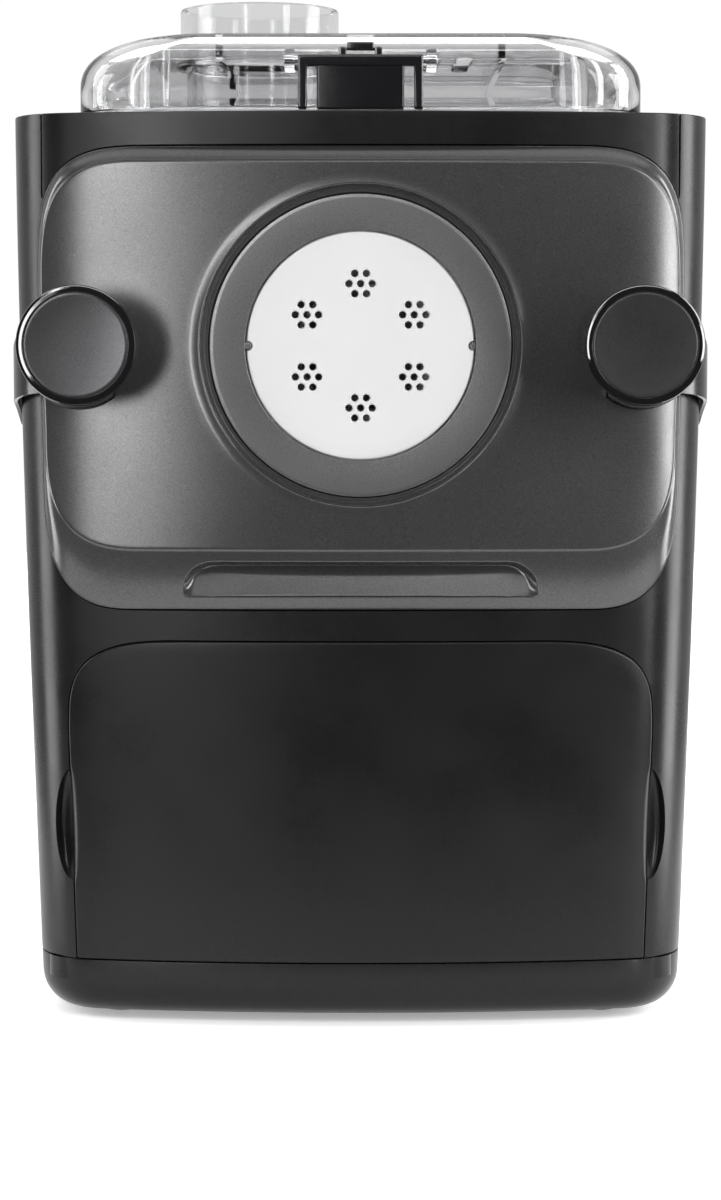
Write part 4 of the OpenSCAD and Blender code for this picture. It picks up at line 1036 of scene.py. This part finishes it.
def surface(name, col, rough, metal=0.0, var=.06, rvar=.06, grain=2500.0, bump=.02, wave=60.0, coat=0.0, coat_rough=.1, spec=.5, ior=1.5,
            dist=.0001, grain2=None, stretch=(1, 1, 1), sheen=0.0):
    """A moulded, painted or machined surface: fine grain as bump, slow change of colour and gloss."""
    m, nt, b = setup(name)
    tc = nt.nodes.new("ShaderNodeTexCoord")
    mp = nt.nodes.new("ShaderNodeMapping")
    mp.inputs["Scale"].default_value = stretch
    nt.links.new(tc.outputs["Object"], mp.inputs["Vector"])
    co = mp.outputs["Vector"]
    slow = noise(nt, co, wave, 3)
    fine = noise(nt, co, grain, 2, .6)
    mix = nt.nodes.new("ShaderNodeMix")
    mix.data_type = "RGBA"
    c0 = tuple(max(0, c * (1 - var)) for c in col) + (1,)
    c1 = tuple(min(1, c * (1 + var)) for c in col) + (1,)
    mix.inputs["A"].default_value = c0
    mix.inputs["B"].default_value = c1
    nt.links.new(slow.outputs["Fac"], mix.inputs["Factor"])
    col_out = mix.outputs["Result"]
    if grain2:
        # fine flakes in the paint
        fl = noise(nt, co, grain2[0], 1, .5)
        mx = nt.nodes.new("ShaderNodeMix")
        mx.data_type = "RGBA"
        mx.blend_type = "MULTIPLY"
        mx.inputs["Factor"].default_value = 1
        v = ramp(nt, fl.outputs["Fac"], .3, .7, 1 - grain2[1], 1 + grain2[1])
        comb = nt.nodes.new("ShaderNodeCombineColor")
        for i in range(3):
            nt.links.new(v, comb.inputs[i])
        nt.links.new(col_out, mx.inputs["A"])
        nt.links.new(comb.outputs["Color"], mx.inputs["B"])
        col_out = mx.outputs["Result"]
    nt.links.new(col_out, b.inputs["Base Color"])
    add = nt.nodes.new("ShaderNodeMath")
    add.operation = "ADD"
    r1 = ramp(nt, slow.outputs["Fac"], .3, .7, rough - rvar, rough + rvar)
    r2 = ramp(nt, fine.outputs["Fac"], .3, .7, -rvar * .6, rvar * .6)
    nt.links.new(r1, add.inputs[0])
    nt.links.new(r2, add.inputs[1])
    add.use_clamp = True
    nt.links.new(add.outputs[0], b.inputs["Roughness"])
    b.inputs["Metallic"].default_value = metal
    b.inputs["IOR"].default_value = ior
    b.inputs["Specular IOR Level"].default_value = spec
    if coat:
        b.inputs["Coat Weight"].default_value = coat
        b.inputs["Coat Roughness"].default_value = coat_rough
    if sheen:
        b.inputs["Sheen Weight"].default_value = sheen
    if bump:
        bp = nt.nodes.new("ShaderNodeBump")
        bp.inputs["Strength"].default_value = bump
        bp.inputs["Distance"].default_value = dist
        nt.links.new(fine.outputs["Fac"], bp.inputs["Height"])
        nt.links.new(bp.outputs["Normal"], b.inputs["Normal"])
    return m


def clear(name, tint=(1, 1, 1), rough=.03, ior=1.49, wave=25.0, bump=.03):
    """Clear moulded plastic, with faint flow waves in its surface."""
    m, nt, b = setup(name)
    tc = nt.nodes.new("ShaderNodeTexCoord")
    slow = noise(nt, tc.outputs["Object"], wave, 2)
    mix = nt.nodes.new("ShaderNodeMix")
    mix.data_type = "RGBA"
    mix.inputs["A"].default_value = tuple(t * .97 for t in tint) + (1,)
    mix.inputs["B"].default_value = tuple(tint) + (1,)
    nt.links.new(slow.outputs["Fac"], mix.inputs["Factor"])
    nt.links.new(mix.outputs["Result"], b.inputs["Base Color"])
    nt.links.new(ramp(nt, slow.outputs["Fac"], .3, .7, rough * .5, rough * 1.5), b.inputs["Roughness"])
    b.inputs["Transmission Weight"].default_value = 1
    b.inputs["IOR"].default_value = ior
    bp = nt.nodes.new("ShaderNodeBump")
    bp.inputs["Strength"].default_value = bump
    bp.inputs["Distance"].default_value = .001
    nt.links.new(slow.outputs["Fac"], bp.inputs["Height"])
    nt.links.new(bp.outputs["Normal"], b.inputs["Normal"])
    return m


def paint(o, m):
    o.data.materials.clear()
    o.data.materials.append(m)
    for p in o.data.polygons:
        p.material_index = 0


def assign(n, m):
    for s in NODES[n].material_slots:
        s.material = m


MAT = {
    "body": surface("body_black", (.0055, .0055, .006), .28, spec=.2, var=.10, rvar=.05, grain=3800, bump=.25, dist=.00006, wave=30),
    "panel": surface("panel_grey", (.062, .062, .063), .218, metal=.6, var=.05, rvar=.04, grain=2600, bump=.2, dist=.00006, wave=14, grain2=(2400, .23)),
    "ring": surface("ring_grey", (.14, .14, .142), .36, metal=.85, var=.05, rvar=.04, grain=2600, bump=.2, dist=.00006, wave=14, grain2=(2400, .2)),
    "drawer": surface("drawer_black", (.005, .005, .0055), .30, spec=.2, var=.10, rvar=.05, grain=3800, bump=.25, dist=.00006, wave=30),
    "gloss": surface("gloss_black", (.004, .004, .0045), .06, spec=.65, var=.2, rvar=.015, grain=900, bump=.01, dist=.0001, wave=20),
    "stem": surface("stem_black", (.006, .006, .0065), .52, spec=.12, var=.12, rvar=.03, grain=3000, bump=.1, dist=.00006, wave=30),
    "wing": surface("wing_black", (.005, .005, .0055), .2, spec=.33, var=.12, rvar=.03, grain=3000, bump=.1, dist=.00006, wave=30),
    "cap": surface("cap_grey", (.055, .055, .057), .31, metal=.75, var=.06, rvar=.04, grain=3200, bump=.14, dist=.00006, wave=30, grain2=(3000, .2)),
    "collar": surface("collar_steel", (.35, .35, .36), .3, metal=1, var=.05, rvar=.05, grain=1500, bump=.05),
    "white": surface("disc_white", (.50, .50, .50), .42, var=.015, rvar=.05, grain=1800, bump=.06, dist=.00008, wave=40),
    "latch": surface("latch_black", (.006, .006, .007), .16, var=.2, rvar=.04, grain=1500, bump=.05, dist=.0001, wave=40, coat=.3, coat_rough=.08),
    "lid": clear("clear_lid", (.92, .92, .925), .02, 1.42),
    "cup": clear("clear_cup", (.93, .93, .935), .015, 1.22),
    "chamber": clear("clear_chamber", (.88, .89, .9), .05),
    "deck": surface("deck_black", (.014, .014, .0155), .5, var=.08, rvar=.05, grain=3000, bump=.3, dist=.00008, wave=30),
    "rear": surface("rear_black", (.016, .016, .0175), .5, var=.08, rvar=.05, grain=3000, bump=.3, dist=.00008, wave=30),
    "glass_black": surface("screen_black", (.003, .003, .0035), .05, var=.1, rvar=.01, grain=600, bump=.01, coat=1, coat_rough=.02),
    "dial": surface("dial_black", (.022, .022, .024), .38, var=.08, rvar=.05, grain=2600, bump=.15, dist=.00008, wave=60),
    "mark": surface("mark_white", (.8, .8, .8), .4, var=.02, rvar=.03, grain=1500, bump=.03),
    "key": surface("key_silver", (.5, .5, .52), .3, metal=.9, var=.04, rvar=.05, grain=2500, bump=.05, stretch=(1, 1, 1)),
    "key2": surface("key_grey", (.05, .05, .054), .42, var=.06, rvar=.05, grain=2600, bump=.12, dist=.00008, wave=60),
    "rubber": surface("foot_rubber", (.018, .018, .018), .75, var=.15, rvar=.06, grain=1800, bump=.4, dist=.0001, wave=90),
    "steel": surface("sheet_steel", (.58, .59, .61), .32, metal=1, var=.05, rvar=.07, grain=900, bump=.08, wave=50, stretch=(1, 1, 14)),
    "turned": surface("turned_steel", (.62, .63, .65), .22, metal=1, var=.04, rvar=.05, grain=1200, bump=.05, wave=60, stretch=(1, 20, 1)),
    "screw": surface("screw_zinc", (.5, .5, .52), .34, metal=1, var=.08, rvar=.07, grain=1500, bump=.1, wave=200),
    "alloy": surface("cast_alloy", (.5, .51, .53), .5, metal=.9, var=.07, rvar=.08, grain=1100, bump=.45, dist=.0002, wave=60),
    "brass": surface("pinion_brass", (.72, .52, .22), .28, metal=1, var=.06, rvar=.06, grain=1200, bump=.06, wave=90),
    "core": surface("rotor_core", (.2, .17, .15), .45, metal=.8, var=.15, rvar=.08, grain=700, bump=.3, wave=90, stretch=(1, 18, 1)),
    "acetal": surface("acetal_white", (.8, .8, .79), .36, var=.02, rvar=.05, grain=1600, bump=.08, wave=50),
    "gear": surface("gear_acetal", (.74, .70, .56), .4, var=.04, rvar=.06, grain=1400, bump=.1, wave=60),
    "seal_red": surface("seal_silicone", (.45, .07, .04), .5, var=.06, rvar=.05, grain=1200, bump=.08, wave=70),
    "seal_grey": surface("seal_grey", (.5, .5, .52), .45, var=.04, rvar=.05, grain=1200, bump=.08, wave=70),
    "board": surface("board_green", (.02, .11, .045), .35, var=.12, rvar=.06, grain=900, bump=.12, wave=140),
    "fan": surface("fan_black", (.03, .03, .032), .45, var=.08, rvar=.05, grain=1800, bump=.1, wave=60),
    "tray": surface("tray_black", (.03, .03, .032), .5, var=.06, rvar=.05, grain=2200, bump=.2, dist=.0001, wave=40),
    "socket": surface("socket_black", (.01, .01, .011), .3, var=.1, rvar=.05, grain=1800, bump=.06, wave=60),
}

shell, bezel, pan = build_body()
door, ring = build_panel()
disc = build_disc()
knobs = build_knobs()
drawer = build_drawer()
lid, latch, cup = build_lid()
deck, screen, dial, spindle, mark, btns = build_deck()
rear, inlet, pins, feet = build_rear()

for o in (shell, bezel, pan):
    paint(o, MAT["body"])
paint(door, MAT["panel"])
paint(ring, MAT["ring"])
paint(disc, MAT["white"])
for o in knobs["gloss"]:
    paint(o, MAT["gloss"])
    o.data.materials.append(MAT["stem"])      # satin behind the glossy front edge
    for p in o.data.polygons:
        if p.center.y > -.1887:
            p.material_index = 1
for o in knobs["ear"]:
    paint(o, MAT["wing"])
for o in knobs["cap"]:
    paint(o, MAT["cap"])
for o in knobs["washer"]:
    paint(o, MAT["collar"])
paint(drawer, MAT["drawer"])
paint(lid, MAT["lid"])
paint(latch, MAT["latch"])
paint(cup, MAT["cup"])
paint(deck, MAT["deck"])
paint(screen, MAT["glass_black"])
paint(dial, MAT["dial"])
paint(spindle, MAT["dial"])
paint(mark, MAT["mark"])
paint(btns[0], MAT["key"])
paint(btns[1], MAT["key2"])
paint(btns[2], MAT["key2"])
paint(rear, MAT["rear"])
paint(inlet, MAT["socket"])
for o in pins:
    paint(o, MAT["turned"])
paint(feet, MAT["rubber"])

for names, key in (
        ("case_screws drive_screws", "screw"), ("front_bulkhead gearbox_bracket drawer_rails panel_backing", "steel"),
        ("tie_rods drive_shaft idler_axle lid_pins shaft_bearings", "turned"), ("mixing_chamber", "chamber"),
        ("extruder_tube extrusion_screw mixing_paddle stored_discs", "acetal"), ("output_gear idler_gear", "gear"),
        ("shaft_seal", "seal_red"), ("disc_gasket lid_seal", "seal_grey"), ("gearbox_case gearbox_plate motor_can", "alloy"),
        ("motor_pinion", "brass"), ("motor_rotor", "core"), ("cooling_fan", "fan"), ("control_board power_board", "board"),
        ("drawer_tray drawer_divider", "tray"), ("power_switch", "socket")):
    for n in names.split():
        assign(n, MAT[key])

# ------------------------------------------------------------------ stage
fl = bpy.data.meshes.new("floor")
n_, R_ = 96, 2.4
vs = [(0, 0, 0)] + [(R_ * (j / 12) ** 1.5 * cos(2 * pi * k / n_), R_ * (j / 12) ** 1.5 * sin(2 * pi * k / n_), 0) for j in range(1, 13) for k in range(n_)]
fs = [(0, 1 + k, 1 + (k + 1) % n_) for k in range(n_)]
for j in range(11):
    a, b = 1 + j * n_, 1 + (j + 1) * n_
    fs += [(a + k, b + k, b + (k + 1) % n_, a + (k + 1) % n_) for k in range(n_)]
vs = [(max(-.42, min(.42, x)), max(-.42, y), z) for x, y, z in vs]
fl.from_pydata(vs, [], fs)
floor = bpy.data.objects.new("floor", fl)
COL.objects.link(floor)
mf, nf, bf = setup("floor_white")
co_ = nf.nodes.new("ShaderNodeTexCoord").outputs["Object"]
ns_ = noise(nf, co_, 5, 3)
nf.links.new(ramp(nf, ns_.outputs["Fac"], .3, .7, .5, .6), bf.inputs["Roughness"])
mx_ = nf.nodes.new("ShaderNodeMix")
mx_.data_type = "RGBA"
mx_.inputs["A"].default_value = (.87, .87, .87, 1)
mx_.inputs["B"].default_value = (.89, .89, .89, 1)
nf.links.new(ns_.outputs["Fac"], mx_.inputs["Factor"])
nf.links.new(mx_.outputs["Result"], bf.inputs["Base Color"])
bf.inputs["Specular IOR Level"].default_value = .2
ln_ = nf.nodes.new("ShaderNodeVectorMath")
ln_.operation = "LENGTH"
nf.links.new(co_, ln_.inputs[0])
# the sweep behind the table, lit on its own, so floor and backdrop join without a line
sp_ = nf.nodes.new("ShaderNodeSeparateXYZ")
nf.links.new(co_, sp_.inputs[0])
ml_ = nf.nodes.new("ShaderNodeMath")
ml_.operation = "MULTIPLY"
nf.links.new(ramp(nf, ln_.outputs["Value"], .3, 2.0, .31, .9), ml_.inputs[0])
nf.links.new(ramp(nf, sp_.outputs["Y"], -.5, -.34, 0, 1), ml_.inputs[1])
nf.links.new(ml_.outputs[0], bf.inputs["Emission Strength"])
bf.inputs["Emission Color"].default_value = (1, 1, 1, 1)
paint(floor, mf)

world = bpy.data.worlds.new("studio")
bpy.context.scene.world = world
world.use_nodes = True
wn = world.node_tree
bg = wn.nodes["Background"]
tc = wn.nodes.new("ShaderNodeTexCoord")
sx = wn.nodes.new("ShaderNodeSeparateXYZ")
wn.links.new(tc.outputs["Generated"], sx.inputs[0])
mr = wn.nodes.new("ShaderNodeMapRange")
mr.interpolation_type = "SMOOTHSTEP"
mr.inputs["From Min"].default_value = -.1
mr.inputs["From Max"].default_value = .75
mr.inputs["To Min"].default_value = .07
mr.inputs["To Max"].default_value = .74
wn.links.new(sx.outputs["Y"], mr.inputs["Value"])
lp = wn.nodes.new("ShaderNodeLightPath")
mw = wn.nodes.new("ShaderNodeMix")
mw.data_type = "FLOAT"
wn.links.new(lp.outputs["Is Camera Ray"], mw.inputs["Factor"])
wn.links.new(mr.outputs["Result"], mw.inputs["A"])
mw.inputs["B"].default_value = 1.02
wn.links.new(mw.outputs["Result"], bg.inputs["Strength"])
bg.inputs["Color"].default_value = (1, 1, 1, 1)


def area(name, loc, target, sx_, sy_, radiance, col=(1, 1, 1)):
    l = bpy.data.lights.new(name, "AREA")
    l.shape = "RECTANGLE"
    l.size, l.size_y, l.energy, l.color = sx_, sy_, radiance * pi * sx_ * sy_, col
    o = bpy.data.objects.new(name, l)
    COL.objects.link(o)
    o.location = loc
    d = Vector(target) - Vector(loc)
    o.rotation_euler = d.to_track_quat("-Z", "Y").to_euler()
    return o


# a strip softbox on the left, brightest along its middle
area("key_left", (-.515, -1.50, .56), (-.08, -.15, .2), .10, 1.05, 11.0)
area("key_mid", (-.518, -1.51, .56), (-.08, -.15, .2), .18, 1.05, 6.0)
area("key_wide", (-.521, -1.52, .56), (-.08, -.15, .2), .36, 1.05, 2.2)
area("rim_right", (.965, -1.21, .55), (.1, -.15, .2), .25, 1.05, 20.5)
area("side_left", (-1.45, -.17, .44), (0, -.1, .25), .60, 1.60, 9.0)
area("side_right", (1.45, -.12, .44), (0, -.1, .25), .60, 1.60, 13.5)
area("over", (0, .75, 2.3), (0, .75, 0), 3.4, 2.8, 1.7)
area("front_top", (-.1, -1.36, 1.12), (0, -.15, .25), 1.5, .14, 13.0)

sc = bpy.context.scene
sc.view_settings.view_transform = "Standard"
sc.view_settings.look = "None"
sc.view_settings.exposure = 0
